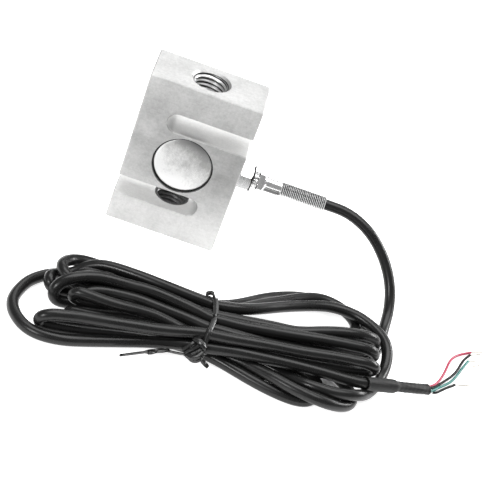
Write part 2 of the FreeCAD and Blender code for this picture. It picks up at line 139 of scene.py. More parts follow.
# Each stretch of the hank leaves the tie at one pass, goes round its end and comes back at another.
HANK_LEAD_IN = [
    (106.5, -48, 2.5), (101.5, -55, 2.5), (92, -61, 2.5), (78, -65, 2.5), (62, -66.5, 2.5), (46, -65.5, 2.5),
]
HANK_TURNS = [
    (("low", 5), ("mid", 5), [
        (18, -62.5, 3), (5, -61.5, 4), (-8, -61, 5), (-17, -60.5, 5.8), (-22, -61, 6.3), (-26, -62.3, 7),
        (-30.5, -65.2, 7.8), (-33, -69.3, 8.8), (-34, -74, 10), (-33, -78, 10.8), (-30.5, -80.3, 10.3),
        (-26, -81, 8.5), (-20, -79.5, 6.3), (-10, -75.5, 5.7), (3, -71, 6.5), (17, -67, 7.2)]),
    (("mid", 5), ("mid", 3), [
        (41, -60.5, 9), (51, -51.5, 9), (62, -41.5, 8), (72, -33, 7), (80, -29.5, 6), (88.5, -30.5, 4.8),
        (95, -34, 3), (96.5, -40, 2.5), (93, -46, 2.5), (86, -51.5, 2.8), (76, -57.5, 4.5),
        (66, -63, 5.5), (56, -69, 5.8), (44, -73.5, 6.6)]),
    (("mid", 3), ("mid", 1), [
        (17, -77, 6), (3, -80.5, 5.5), (-8, -85, 5.5), (-16, -88.5, 6), (-24, -90.5, 5.8), (-29.5, -92, 7),
        (-29.8, -92.3, 9.8), (-24, -92.2, 11), (-15.3, -91.4, 11), (-9.1, -90.4, 11), (-1, -88, 10.5),
        (7.2, -85.8, 9.8), (18, -85, 8.5)]),
    (("mid", 1), ("top", 0), [
        (45, -83.5, 6), (60, -81.5, 6), (75, -79, 6.5), (88, -75.5, 6.5), (98, -71.5, 6),
        (104, -69.5, 6.6), (105.6, -70.8, 9), (104.7, -72, 11.5), (101.5, -73.1, 13), (96.9, -74.4, 13.5),
        (88.1, -75.9, 13.5), (79.5, -78.1, 13.5), (71, -79.7, 13), (62.3, -81.2, 13), (53.8, -83, 13),
        (45.4, -84.6, 12.6)]),
    (("top", 0), ("low", 0), [
        (24.7, -89.2, 11.7), (16.8, -92.3, 11.5), (8.7, -94.9, 11.3), (0.7, -96.7, 11), (-7.3, -98.9, 11),
        (-15.2, -101, 11), (-21.2, -102, 10.5), (-26.9, -103.5, 10), (-32.6, -105.2, 9.5),
        (-35.8, -106, 7.5), (-35.5, -104.5, 4.2), (-29, -101.5, 2.6), (-18, -97.5, 2.6),
        (-6, -93.5, 2.6), (8, -89.5, 2.6), (20, -87.5, 2.5)]),
    (("low", 0), ("low", 3), [
        (39.4, -87.6, 2.5), (46.3, -89.6, 2.5), (51.4, -91.4, 2.5), (56.4, -93, 2.5), (61.8, -94.5, 2.5),
        (66.7, -95.6, 2.5), (71.6, -96.2, 2.5), (76.4, -96.1, 2.5), (80.6, -94, 2.5), (83.3, -89.2, 2.5),
        (83.5, -83.7, 2.5), (81.8, -79.9, 2.5), (76, -76, 2.5), (66, -75.8, 2.5), (54, -75.6, 2.5),
        (43, -74.4, 2.5)]),
    (("low", 3), ("top", 2), [
        (17, -75.5, 2.6), (2, -78.5, 2.6), (-13, -83, 2.6), (-24, -88.5, 2.6), (-30, -91, 3.4),
        (-32.4, -91.5, 6.5), (-32.2, -90.2, 9.5), (-30.9, -88.6, 11), (-28.3, -86.5, 12.3),
        (-24.2, -83.1, 13), (-18.5, -79.7, 13), (-12.3, -78.3, 13), (-3.8, -77.5, 13), (4.6, -76.3, 13.2),
        (15.7, -77, 13.2), (24, -77.6, 13)]),
    (("top", 2), ("top", 1), [
        (44.1, -76.1, 13), (52.6, -74.2, 13.2), (61.1, -72.4, 13.5), (69.8, -70.1, 13.5), (82.8, -67.2, 14),
        (93.8, -64.8, 14), (100.7, -63, 13.5), (104.8, -61.8, 12), (106.3, -60.2, 9.2), (103.5, -60.2, 6.6),
        (96, -63, 6.8), (84, -67, 7.5), (70, -72.5, 8), (56, -78, 9), (45, -80.8, 10.3)]),
    (("top", 1), ("low", 2), [
        (23.4, -80.8, 10.8), (12.8, -81, 10.3), (2, -80.7, 9.8), (-4.3, -80.8, 9.5), (-10.6, -81.2, 9.2),
        (-16.4, -82, 8.8), (-21.5, -84.5, 8), (-23.5, -86.8, 5.5), (-19, -86.5, 2.8), (-8, -83, 2.5),
        (5, -80, 2.5), (18, -78.5, 2.5)]),
    (("low", 2), ("top", 4), [
        (42, -80.5, 2.5), (55, -81.4, 2.5), (64, -83.8, 2.8), (70.5, -88, 4.6), (76.5, -91.5, 7),
        (82, -92.3, 7.6), (87.2, -92.2, 7.8), (91.5, -91, 7.8), (95.8, -88.8, 7.5), (98.6, -86.6, 7),
        (102, -80.8, 4.4), (105.5, -74, 2.8), (107.9, -68.4, 2.6), (109.4, -63, 3), (110.4, -57.8, 4.4),
        (110.4, -53, 6.2), (109.2, -48.4, 8), (106.2, -43.2, 8.4), (102, -39.6, 8.6), (96, -36, 8.6),
        (89, -34.5, 8.5), (81, -35.5, 8.5), (72, -40, 8.5), (62, -47.5, 9.5), (52, -56.5, 11),
        (43, -63.5, 12)]),
    (("top", 4), ("low", 4), [
        (20.9, -70.6, 13.2), (14.1, -71, 13.4), (7.3, -71, 13.4), (0.6, -70.5, 13.3), (-5.9, -70, 13),
        (-12.3, -69.2, 12.5), (-18.5, -69, 11.5), (-22.3, -69.6, 10.3), (-25.1, -71.2, 8.5),
        (-28, -73.5, 6.5), (-31, -75.5, 5.8), (-33.6, -76.8, 6), (-36.1, -79.8, 7.2), (-36.8, -83.6, 7.8),
        (-36, -85.8, 6.6), (-34.5, -85.6, 4.4), (-30, -82, 2.6), (-20, -77, 2.5), (-8, -73.5, 2.5),
        (5, -71.5, 2.5), (18, -70, 2.5)]),
    (("low", 4), ("low", 1), [
        (43, -70.5, 2.5), (56, -71.5, 2.5), (70, -71.5, 2.5), (82, -71, 2.5), (90, -73, 2.5), (96, -78, 2.5),
        (99, -82.5, 2.5), (99.5, -86.8, 2.5), (96.2, -91.6, 3.5), (90.5, -95.7, 5.5), (84.4, -98, 7.2),
        (79.5, -98.1, 7.6), (74.7, -97.4, 7.6), (69.8, -96.3, 7.6), (63.6, -93.7, 7.2), (57.9, -90.8, 6.3),
        (48.2, -86.3, 5), (39, -83.5, 3.4)]),
    (("low", 1), ("mid", 2), [
        (18, -83, 2.5), (6, -85, 2.5), (-6, -88.5, 2.5), (-16, -92.5, 2.5), (-23, -95.5, 2.6),
        (-28, -96.5, 4), (-28, -95, 6.8), (-21, -93.5, 7), (-12, -90.5, 6.6), (2, -85.5, 7), (16, -81.5, 7)]),
    (("mid", 2), ("top", 3), [
        (45, -78.8, 6.8), (58, -75, 7), (70, -70, 7), (82, -64.5, 7), (92, -59.5, 7), (99, -55.5, 6.5),
        (104.5, -53, 6.6), (106.8, -52.2, 9), (104.7, -52.4, 11.3), (100.4, -54.7, 13), (93.4, -57.7, 13.8),
        (86.8, -59.8, 13.5), (78.4, -62.9, 12.5), (70.2, -65.7, 11), (58, -68.6, 10.9), (44, -71.5, 11)]),
    (("top", 3), ("mid", 4), [
        (17, -72.3, 9.8), (3, -72, 9.2), (-8, -72.5, 9), (-18, -74.2, 9.2), (-26, -76, 9),
        (-28.6, -77, 6.4), (-25.5, -75.5, 4.2), (-17, -73.5, 4.2), (-6, -71.5, 6), (6, -70, 7),
        (18, -70, 7.2)]),
    (("mid", 4), ("mid", 6), [
        (44, -68, 6), (58, -63.5, 3), (72, -59.5, 2.5), (85, -54.5, 2.5), (95, -48.5, 2.5),
        (101.5, -41.5, 2.5), (102, -34, 2.5), (96, -28, 2.5), (86, -25.2, 2.5), (76, -26.2, 3),
        (68.8, -29.2, 4),
        (61.9, -34.2, 5), (55.2, -40.3, 6), (48.9, -47.5, 7), (42.6, -54.6, 7.6), (36.6, -58.8, 7.4)]),
    (("mid", 6), ("mid", 0), [
        (18, -59, 5.5), (5, -57.5, 4), (-8, -57.8, 2.7), (-20, -60.5, 2.5), (-31, -66, 2.5),
        (-38.8, -71.6, 2.5), (-41.8, -74.9, 2.5), (-44.6, -79.3, 2.5), (-46.4, -85.1, 2.5),
        (-47.3, -90.6, 2.5), (-47, -95.7, 2.5), (-45.2, -99.6, 2.5), (-42.4, -103.2, 2.5),
        (-38.4, -106.4, 2.5), (-33.5, -108.2, 2.5), (-27.6, -108.4, 2.5), (-21.3, -107, 2.5),
        (-14.4, -104, 2.5), (-6.8, -100.4, 2.6), (0.9, -96.9, 2.9), (8.6, -93.9, 3.6), (16.5, -91.9, 4.6),
        (24, -90.6, 5.8)]),
]
HANK_WAY_OUT = [
    (38.9, -88.8, 7.8), (47.2, -88, 8.9), (55.7, -86.5, 9), (64.1, -85.2, 9.2),
    (72.7, -84.2, 9.4), (81.4, -83.3, 9.5), (90.1, -82.8, 9.6), (96.7, -82, 9.6),
]

# ---- cable end ---------------------------------------------------------------------------------
SLEEVE_START = (102.5, -80.7, 9.6)
SLEEVE_END = (132.6, -60.9, 2.4)
SLEEVE_SET_BACK = 1.9           # how far the shrunk sleeve sits back over the cable
SLEEVE_WALL = 0.5
SLEEVE_FAT_LENGTH = 16.0
SLEEVE_TAPER_LENGTH = 3.0
SLEEVE_THIN_RADIUS = 2.3
SLEEVE_FLATNESS = 0.10          # of the thin part, which is a little wider than high
TAIL_IN_SLEEVE = 9.0
WIRE_DIAMETER = 1.2
WIRE_RING_RADIUS = 1.2          # of the ring that the wires' middles make in the sleeve's end
WIRE_STRAIGHT = 3               # of a wire's last stretch in the sleeve
WIRE_INSIDE = {"wire_red": 10, "wire_black": 10, "wire_green": 10, "wire_white": 10, "wire_drain": 14}
STRANDS = 5
STRAND_RADIUS = 0.115
STRAND_SPREAD = 0.15
STRAND_TURNS = 2.2
STRAND_STEPS = 28
WIRE_ROUTES = {
    "wire_red": [(135.3, -56, 2.9), (137.7, -49.9, 2.6), (139.6, -43.1, 2.2), (141.3, -35.8, 1.6),
                 (143.6, -30.4, 1.2), (147.2, -26, 0.9), (152, -22, 0.7)],
    "wire_black": [(135.5, -56.8, 2.1), (139, -51, 1.5), (142.5, -45.3, 1), (145.4, -39.4, 0.8),
                   (147.4, -32.7, 0.7), (149.2, -28, 0.6), (151.7, -24, 0.6)],
    "wire_green": [(135.9, -58.2, 2.4), (139.3, -53.8, 1.8), (142.7, -48.8, 1.2), (145.6, -42.3, 0.8),
                   (148, -35.7, 0.7), (150.8, -29.2, 0.7)],
    "wire_white": [(136, -59.6, 1.3), (140, -55, 0.8), (144, -49.2, 0.7), (147.6, -42.6, 0.7),
                   (150, -37, 0.7), (152.2, -32.6, 0.7)],
    "wire_drain": [(134.8, -61.2, 1.4), (137.4, -58.2, 1.2), (140, -54.8, 1), (142.3, -52, 0.8),
                   (144.4, -49.6, 0.7)],
}
WIRE_TIPS = {
    "wire_red": (158.2, -18.6, 0.6), "wire_black": (157, -20.6, 0.5), "wire_green": (155.6, -26, 0.5),
    "wire_white": (156.6, -28.8, 0.5), "wire_drain": (153.6, -45.4, 0.5),
}
# Each wire's angle on the ring in the sleeve's end, from level toward up.
WIRE_SEATS = {"wire_red": 40, "wire_black": 100, "wire_green": 165, "wire_white": 235, "wire_drain": 300}


def mm(point):
    """A point in millimetres as Blender's metres."""
    return [coordinate * MM for coordinate in point]


# ---- shader expressions ------------------------------------------------------------------------
class Value:
    """A number that changes over a surface; arithmetic on it adds Math nodes."""

    def __init__(self, finish, socket):
        self.finish = finish
        self.socket = socket

    def maths(self, operation, *inputs):
        sockets = dict(enumerate(inputs))
        return self.finish.node("Math", sockets, operation=operation)

    def __add__(self, other):
        return self.maths("ADD", self, other)

    def __sub__(self, other):
        return self.maths("SUBTRACT", self, other)

    def __rsub__(self, other):
        return self.maths("SUBTRACT", other, self)

    def __mul__(self, other):
        return self.maths("MULTIPLY", self, other)

    __radd__ = __add__
    __rmul__ = __mul__

    def sine(self):
        return self.maths("SINE", self)

    def size(self):
        """How big the value is, whatever its sign."""
        return self.maths("ABSOLUTE", self)

    def below(self, limit):
        """One where the value is less than the limit, otherwise nought."""
        return self.maths("LESS_THAN", self, limit)

    def clamped(self):
        return self.finish.node("Clamp", {"Value": self})


class Finish:
    """A procedural material, with constants set straight on the surface shader."""

    def __init__(self, name, **constants):
        self.material = bpy.data.materials.new(name)
        self.material.use_nodes = True
        self.tree = self.material.node_tree
        self.surface = self.tree.nodes["Principled BSDF"]
        for socket, value in constants.items():
            self.feed(self.surface.inputs[socket.replace("_", " ")], value)

    def feed(self, socket, value):
        if isinstance(value, Value):
            self.tree.links.new(value.socket, socket)
        else:
            socket.default_value = value

    def node(self, kind, inputs, output=0, stops=(), **settings):
        """One shader node: settings first, then its sockets' values or links; returns one output."""
        made = self.tree.nodes.new("ShaderNode" + kind)
        for setting, value in settings.items():
            setattr(made, setting, value)
        for place, (position, colour) in enumerate(stops):
            ramp = made.color_ramp.elements
            stop = ramp[place] if place < 2 else ramp.new(position)
            stop.position = position
            stop.color = colour
        for socket, value in inputs.items():
            self.feed(made.inputs[socket], value)
        return Value(self, made.outputs[output])

    def place(self):
        """Where the surface lies, in metres on the object."""
        return self.node("TexCoord", {}, output="Object")

    def facing(self):
        """Which way the surface faces on the object."""
        return self.node("TexCoord", {}, output="Normal")

    def component(self, vector, axis):
        return self.node("SeparateXYZ", {"Vector": vector}, output=axis)

    def stretched(self, place, x, y, z):
        """The place scaled along each axis, for a grain that runs one way."""
        return self.node("VectorMath", {0: place, 1: (x, y, z)}, operation="MULTIPLY")

    def noise(self, place, scale, detail=3.0, roughness=0.5):
        return self.node("TexNoise", {"Vector": place, "Scale": scale, "Detail": detail,
                                      "Roughness": roughness})

    def mix(self, factor, first, second):
        """A blend of two colours, which a Mix node takes at 6 and 7 and gives at 2."""
        return self.node("Mix", {0: factor, 6: first, 7: second}, output=2, data_type="RGBA")

    def bump(self, height, strength, distance):
        return self.node("Bump", {"Height": height, "Strength": strength, "Distance": distance})

    def wear(self, **varying):
        """Feeds what changes over the surface to the surface shader's own sockets."""
        for socket, value in varying.items():
            self.feed(self.surface.inputs[socket.replace("_", " ")], value)


def grey(level):
    return (level, level, level, 1.0)


def warm_grey(level, blue):
    """A grey with a little less blue in it."""
    return (level, level, blue, 1.0)


# ---- finishes ----------------------------------------------------------------------------------
# Painted light: how much lighter the steel's tone grows toward the block's lower end.
PAINTED_LIGHT_LOW_DOWN = 0.26         # of the steel's tone, from the block's middle to its lower end


def plated_steel():
    """Plated steel, blasted to a mottled satin; lighter on the ends; painted light makes it lighter low down,
    and the slots lighter still, partly by their milling.
    """
    finish = Finish("plated_steel", Metallic=1.0, IOR=2.3)
    place = finish.place()
    clouds = finish.noise(place, 75.0, 6.0, 0.66)
    specks = finish.noise(place, 900.0, 4.0, 0.7)
    grain = finish.noise(finish.stretched(place, 160.0, 900.0, 2600.0), 1.0, 3.0, 0.6)
    blast = finish.noise(place, 4200.0, 2.0, 0.6)
    middle = MID_HEIGHT * MM
    # Painted light: the tone rises from the block's middle to its lower end.
    lower = (middle - finish.component(place, "Z")) * (PAINTED_LIGHT_LOW_DOWN / middle)
    tone = (clouds - 0.5) * 1.6 + (specks - 0.5) * 1.1 + (grain - 0.5) * 0.5 + lower + 0.5
    blasted = finish.mix(tone.clamped(), warm_grey(0.35, 0.347), warm_grey(0.57, 0.565))
    ground = finish.mix(tone.clamped(), warm_grey(0.50, 0.497), warm_grey(0.76, 0.755))
    milled_and_painted_light = finish.mix(tone.clamped(), warm_grey(0.63, 0.625), warm_grey(0.80, 0.795))
    # Milled faces are those that face neither front nor back and lie inside the block's outline; their
    # lighter tone comes partly from the milling and partly from painted light in the slots.
    edge_on = finish.component(finish.facing(), "Y").size().below(0.5)
    off_sides = finish.component(place, "X").size().below((BLOCK_SIDE - 0.05) * MM)
    slots_reach = (MID_HEIGHT - ARM_HEIGHT + 0.3) * MM
    off_ends = (finish.component(place, "Z") - middle).size().below(slots_reach)
    end_face = (finish.component(finish.facing(), "Z").size() * -1.0).below(-0.7)
    colour = finish.mix(edge_on * off_sides * off_ends, finish.mix(end_face, blasted, ground), milled_and_painted_light)
    rough = (clouds - 0.5) * 0.4 + (grain - 0.5) * 0.16 + 0.46
    relief = blast * 0.5 + grain * 0.5
    finish.wear(Base_Color=colour, Roughness=rough, Normal=finish.bump(relief, 0.35, 0.00002))
    return finish.material


def spun_cover_steel():
    """Cover plate: clouded satin with faint turning rings, with painted light making it lighter low down and
    a painted shadow darkening its upper edge.
    """
    finish = Finish("spun_cover_steel", Metallic=1.0, IOR=2.4)
    place = finish.place()
    centred = finish.node("VectorMath", {0: place, 1: (0, 0, MID_HEIGHT * MM)}, operation="SUBTRACT")
    flat = finish.stretched(centred, 1.0, 0.0, 1.0)
    radius = finish.node("VectorMath", {0: flat}, output="Value", operation="LENGTH")
    rings = (radius * 9000.0).sine()
    clouds = finish.noise(place, 140.0, 5.0, 0.65)
    specks = finish.noise(place, 1100.0, 3.0, 0.7)
    height, width = finish.component(centred, "Z"), finish.component(centred, "X")
    rim = COVER_RADIUS * MM
    # Painted light: the tone rises toward the cover's lower left, where the light falls on the recessed disc.
    painted_light_lean = (height + width * 0.55) * (-0.75 / rim)
    tone = (clouds - 0.5) * 1.6 + (specks - 0.5) * 0.9 + rings * 0.06 + painted_light_lean + 0.62
    satin = finish.mix(tone.clamped(), warm_grey(0.42, 0.415), warm_grey(0.84, 0.835))
    # Painted shadow: a grey band along the cover's upper edge, where the bore's rim shades the recessed disc.
    upper = (height * 0.97 + width * 0.25) * (1 / rim)
    colour = finish.mix(((upper - 0.5) * 2.2).clamped(), satin, grey(0.15))
    rough = (clouds - 0.5) * 0.3 + 0.46
    finish.wear(Base_Color=colour, Roughness=rough, Normal=finish.bump(rings, 0.12, 0.00001))
    return finish.material


def coiled_wire_steel():
    """Bright round wire, with painted shade on its flanks where the turns of the coil meet and a top painted
    darker against the overhead light's reflection.
    """
    finish = Finish("coiled_wire_steel", Metallic=1.0, IOR=2.4)
    flank = finish.component(finish.facing(), "X").size()
    spots = finish.noise(finish.place(), 700.0, 4.0, 0.6)
    bright = finish.mix(spots, grey(0.60), grey(0.80))
    # Painted shade: the wire's flanks, where the turns meet, go near black.
    painted_shade_between_turns = ((flank - 0.52) * 3.4).clamped()
    # Painted shade: the top is darkened, damping the overhead light's reflection.
    painted_dark_top_mask = ((finish.component(finish.facing(), "Z") - 0.45) * 2.5).clamped()
    painted_dark_top = finish.mix(painted_dark_top_mask, bright, grey(0.34))
    finish.wear(Base_Color=finish.mix(painted_shade_between_turns, painted_dark_top, grey(0.01)), Roughness=(spots - 0.5) * 0.2 + 0.44)
    return finish.material


def painted_shade_under_neck(finish, place):
    """Where the clamping nut's neck faces down, darkened as a painted reflection of the dark below it."""
    on_neck = (finish.component(place, "X") * -1.0).below(-(NUT_LOW.x + NUT_HEX_LENGTH + 0.3) * MM)
    return ((0.10 - finish.component(finish.facing(), "Z")) * 4.0).clamped() * on_neck * 0.9


def painted_shade_near_root(finish, place):
    """Where a tapped hole's thread comes near its root, darkened there as painted shade in the grooves."""
    reach = 0.55
    flat = finish.stretched(place, 1.0, 1.0, 0.0)
    radius = finish.node("VectorMath", {0: flat}, output="Value", operation="LENGTH")
    return ((radius - (THREAD_ROOT_RADIUS - reach) * MM) * (1.6 / (reach * MM))).clamped() * 0.93


def turned_metal(name, low, high, roughness, painted_shade_place=None):
    """Plated turned parts with tight lathe grain, with painted shade at a given place."""
    finish = Finish(name, Metallic=1.0, IOR=2.4)
    place = finish.place()
    grain = finish.noise(finish.stretched(place, 5200.0, 260.0, 260.0), 1.0, 2.0, 0.5)
    spots = finish.noise(place, 420.0, 4.0, 0.6)
    tone = (grain - 0.5) * 0.6 + (spots - 0.5) * 0.7 + 0.5
    colour = finish.mix(tone.clamped(), grey(low), grey(high))
    if painted_shade_place:
        colour = finish.mix(painted_shade_place(finish, place), colour, grey(0.01))
    rough = (spots - 0.5) * 0.16 + (grain - 0.5) * 0.08 + roughness
    finish.wear(Base_Color=colour, Roughness=rough, Normal=finish.bump(grain, 0.18, 0.00001))
    return finish.material


def dull_rubber(name, level, roughness, lump_scale):
    """Sealant, potting and seal: dark, dull and slightly lumpy."""
    finish = Finish(name, Specular_IOR_Level=0.4)
    place = finish.place()
    lumps = finish.noise(place, lump_scale, 4.0, 0.6)
    dust = finish.noise(place, lump_scale * 9, 3.0, 0.7)
    colour = finish.mix((lumps * 0.6 + dust * 0.4).clamped(), grey(level * 0.6), grey(level * 1.7))
    rough = (dust - 0.5) * 0.3 + roughness
    finish.wear(Base_Color=colour, Roughness=rough, Normal=finish.bump(lumps + dust * 0.3, 0.6, 0.00012))
    return finish.material


def cable_jacket():
    """Extruded black jacket: satin with faint haze and a fine uneven skin."""
    finish = Finish("cable_jacket", Specular_IOR_Level=0.33)
    place = finish.place()
    haze = finish.noise(place, 85.0, 4.0, 0.6)
    skin = finish.noise(place, 2600.0, 3.0, 0.65)
    colour = finish.mix((haze * 0.7 + skin * 0.3).clamped(), grey(0.004), grey(0.014))
    rough = (haze - 0.5) * 0.24 + (skin - 0.5) * 0.1 + 0.29
    finish.wear(Base_Color=colour, Roughness=rough, Normal=finish.bump(skin, 0.22, 0.00002))
    return finish.material


def soft_plastic(name, dark, light, roughness, scale=700.0, bumpiness=0.2, gloss=0.45):
    """Plastic skin with a little unevenness in tone and gloss."""
    finish = Finish(name, Specular_IOR_Level=gloss)
    place = finish.place()
    haze = finish.noise(place, scale * 0.2, 3.0, 0.6)
    skin = finish.noise(place, scale * 3, 3.0, 0.6)
    colour = finish.mix((haze * 0.7 + skin * 0.3).clamped(), dark, light)
    rough = (haze - 0.5) * 0.2 + roughness
    finish.wear(Base_Color=colour, Roughness=rough, Normal=finish.bump(haze + skin * 0.3, bumpiness, 0.00005))
    return finish.material


def tinned_copper():
    """Bare strands, dipped in tin."""
    finish = Finish("tinned_copper", Metallic=1.0)
    place = finish.place()
    spots = finish.noise(place, 1500.0, 4.0, 0.6)
    colour = finish.mix(spots, (0.30, 0.25, 0.19, 1), (0.50, 0.49, 0.46, 1))
    finish.wear(Base_Color=colour, Roughness=(spots - 0.5) * 0.3 + 0.34)
    return finish.material


# Painted shadow: the paper's glow is cut round this place, under the hank.
FLOOR_SHADE = (75, -79, 0)      # middle of the paper's darkest place, under the hank
FLOOR_SHADE_REACH = (21, 7.5)


def floor_paper():
    """Seamless white paper that glows a little as painted light, except under the hank, where the cut glow
    leaves a painted shadow.
    """
    finish = Finish("floor_paper", Specular_IOR_Level=0.2, Emission_Strength=0.8)
    place = finish.place()
    fibres = finish.noise(place, 900.0, 3.0, 0.6)
    from_shade = finish.node("VectorMath", {0: place, 1: mm(FLOOR_SHADE)}, operation="SUBTRACT")
    half_width, half_depth = mm(FLOOR_SHADE_REACH)
    spread = finish.stretched(from_shade, 1 / half_width, 1 / half_depth, 0.0)
    reach = finish.node("VectorMath", {0: spread}, output="Value", operation="LENGTH")
    glow = finish.mix(((reach - 0.8) * 2.5).clamped(), grey(0.0), grey(1.0))
    finish.wear(Emission_Color=glow, Base_Color=finish.mix(fibres, grey(0.90), grey(0.93)),
                Roughness=(fibres - 0.5) * 0.1 + 0.8)
    return finish.material


# ---- mesh tools --------------------------------------------------------------------------------
def make_piece(name, points, faces, material, replaced=()):
    """A smooth-shaded mesh in millimetres, riding on the block."""
    mesh = bpy.data.meshes.new(name)
    mesh.from_pydata([mm(point) for point in points], [], faces)
    mesh.update()
    mesh.polygons.foreach_set("use_smooth", [True] * len(mesh.polygons))
    mesh.materials.append(material)
    piece = bpy.data.objects.new(name, mesh)
    bpy.context.scene.collection.objects.link(piece)
    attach(piece, BODY)
    if replaced:
        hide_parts(*replaced)
    return piece


def ring_faces(rings, around, closed=True):
    """Quads between rings of points, with both ends filled unless the rings close on themselves."""
    faces = []
    for ring in range(rings - 1 if closed else rings):
        below, above = ring * around, (ring + 1) % rings * around
        for step in range(around):
            beside = (step + 1) % around
            faces.append((below + step, below + beside, above + beside, above + step))
    if closed:
        faces.append(tuple(reversed(range(around))))
        faces.append(tuple((rings - 1) * around + step for step in range(around)))
    return faces


def sheet_faces(rows, around):
    """Quads of a tube wall's outer face, and of its inner face, whose points follow the outer's."""
    faces = []
    shift = (rows + 1) * around
    for row in range(rows):
        for step in range(around):
            beside = (step + 1) % around
            low, high = row * around, (row + 1) * around
            faces.append((low + step, low + beside, high + beside, high + step))
            faces.append((shift + low + beside, shift + low + step, shift + high + step,
                          shift + high + beside))
    return faces


def frames_along(line, up=(0, 0, 1)):
    """For each point of a line, two unit vectors across it that never spin needlessly."""
    line = np.asarray(line, float)
    along = np.gradient(line, axis=0)
    along /= np.linalg.norm(along, axis=1, keepdims=True)
    side = np.cross(up, along[0])
    side /= np.linalg.norm(side)
    sides = []
    for direction in along:
        side = side - direction * side.dot(direction)
        side /= np.linalg.norm(side)
        sides.append(side)
    sides = np.array(sides)
    return sides, np.cross(along, sides)


def swept(line, section, up=(0, 0, 1), turns=None):
    """Points of a section carried along a line, turned about it at each point where turns are given."""
    line = np.asarray(line, float)
    sides, ups = frames_along(line, up)
    points = []
    for place, centre in enumerate(line):
        turn = turns[place] if turns is not None else 0.0
        cosine, sine = math.cos(turn), math.sin(turn)
        for across, upward in section:
            a, b = across * cosine - upward * sine, across * sine + upward * cosine
            points.append(centre + sides[place] * a + ups[place] * b)
    return points


def angles_round(around):
    """Evenly spaced angles, once round."""
    return [2 * math.pi * step / around for step in range(around)]


def circle(radius, around):
    return [(radius * math.cos(angle), radius * math.sin(angle)) for angle in angles_round(around)]


def eased(share):
    """Nought to one with a soft start and end; the share is held within them first."""
    share = min(max(share, 0.0), 1.0)
    return share * share * (3 - 2 * share)


def smooth_line(route, steps):
    """Points along the route's own smooth curve, one that has the route as its control points."""
    route = np.asarray(route, float)
    knots = np.concatenate([[route[0]], (route[1:-2] + route[2:-1]) / 2, [route[-1]]])
    line = []
    for start, corner, end in zip(knots, route[1:-1], knots[1:]):
        for step in range(steps):
            share = step / steps
            line.append(start * (1 - share) ** 2 + corner * 2 * share * (1 - share) + end * share ** 2)
    line.append(route[-1])
    return np.array(line)


# ---- hank --------------------------------------------------------------------------------------
def tie_pass(row, number):
    """Where a pass of the cable goes through the tie."""
    depth, height = TIE_ROWS[row][number]
    return (TIE_X, depth, height)


def through(knots, step):
    """Evenly spaced points on a flowing curve through the knots."""
    knots = np.array(knots, float)
    knots = np.concatenate([[2 * knots[0] - knots[1]], knots, [2 * knots[-1] - knots[-2]]])
    curve = []
    for before, start, end, after in zip(knots, knots[1:], knots[2:], knots[3:]):
        gaps = [np.linalg.norm(b - a) ** 0.5 for a, b in ((before, start), (start, end), (end, after))]
        at_start = (start - before) / gaps[0] - (end - before) / (gaps[0] + gaps[1]) + (end - start) / gaps[1]
        at_end = (end - start) / gaps[1] - (after - start) / (gaps[1] + gaps[2]) + (after - end) / gaps[2]
        for share in np.linspace(0, 1, CURVE_STEPS, endpoint=False):
            square, cube = share ** 2, share ** 3
            curve.append(start * (2 * cube - 3 * square + 1) + end * (3 * square - 2 * cube)
                         + at_start * gaps[1] * (cube - 2 * square + share)
                         + at_end * gaps[1] * (cube - square))
    curve = np.array(curve + [knots[-2]])
    along = np.concatenate([[0], np.cumsum(np.linalg.norm(np.diff(curve, axis=0), axis=1))])
    places = np.linspace(0, along[-1], round(along[-1] / step) + 1)
    return np.stack([np.interp(places, along, curve[:, axis]) for axis in range(3)], axis=1)


def sleeve_frame():
    """Unit vectors along the sleeve, level across it, and up from it."""
    along = (Vector(SLEEVE_END) - Vector(SLEEVE_START)).normalized()
    across = Vector((0, 0, 1)).cross(along).normalized()
    return along, across, along.cross(across)


def hank_points():
    """All turns of the hank, and which points the tie, the lead and the sleeve hold still."""
    along = sleeve_frame()[0]
    tail_end = Vector(SLEEVE_START) + along * TAIL_IN_SLEEVE
    stretches = [([LEAD_ROUTE[-1]] + HANK_LEAD_IN + [tie_pass(*HANK_TURNS[0][0])], 1)]
    for leaves, returns, knots in HANK_TURNS:
        stretches.append(([tie_pass(*leaves)] + knots + [tie_pass(*returns)], 1))
    last = tie_pass(*HANK_TURNS[-1][1])
    stretches.append(([last] + HANK_WAY_OUT + [SLEEVE_START, tuple(tail_end)], 3))
    points, held = [], []
    for knots, held_at_end in stretches:
        stretch = through(knots, HANK_STEP)[1:]
        points.extend(stretch)
        held.extend([False] * (len(stretch) - held_at_end) + [True] * held_at_end)
    return np.array(points), np.array(held)


def nearest_places(start_a, end_a, start_b, end_b):
    """For pairs of short straight pieces, how far along each, from nought to one, the two are nearest."""
    run_a, run_b, between = end_a - start_a, end_b - start_b, start_a - start_b
    aa, bb, ab = (run_a * run_a).sum(1), (run_b * run_b).sum(1), (run_a * run_b).sum(1)
    ar, br = (run_a * between).sum(1), (run_b * between).sum(1)
    spread = aa * bb - ab * ab
    crossing = np.clip((ab * br - ar * bb) / np.maximum(spread, PARALLEL), 0, 1)
    on_a = np.where(spread > PARALLEL, crossing, 0.5)
    on_b = np.clip((ab * on_a + br) / bb, 0, 1)
    return np.clip((ab * on_b - ar) / aa, 0, 1), on_b


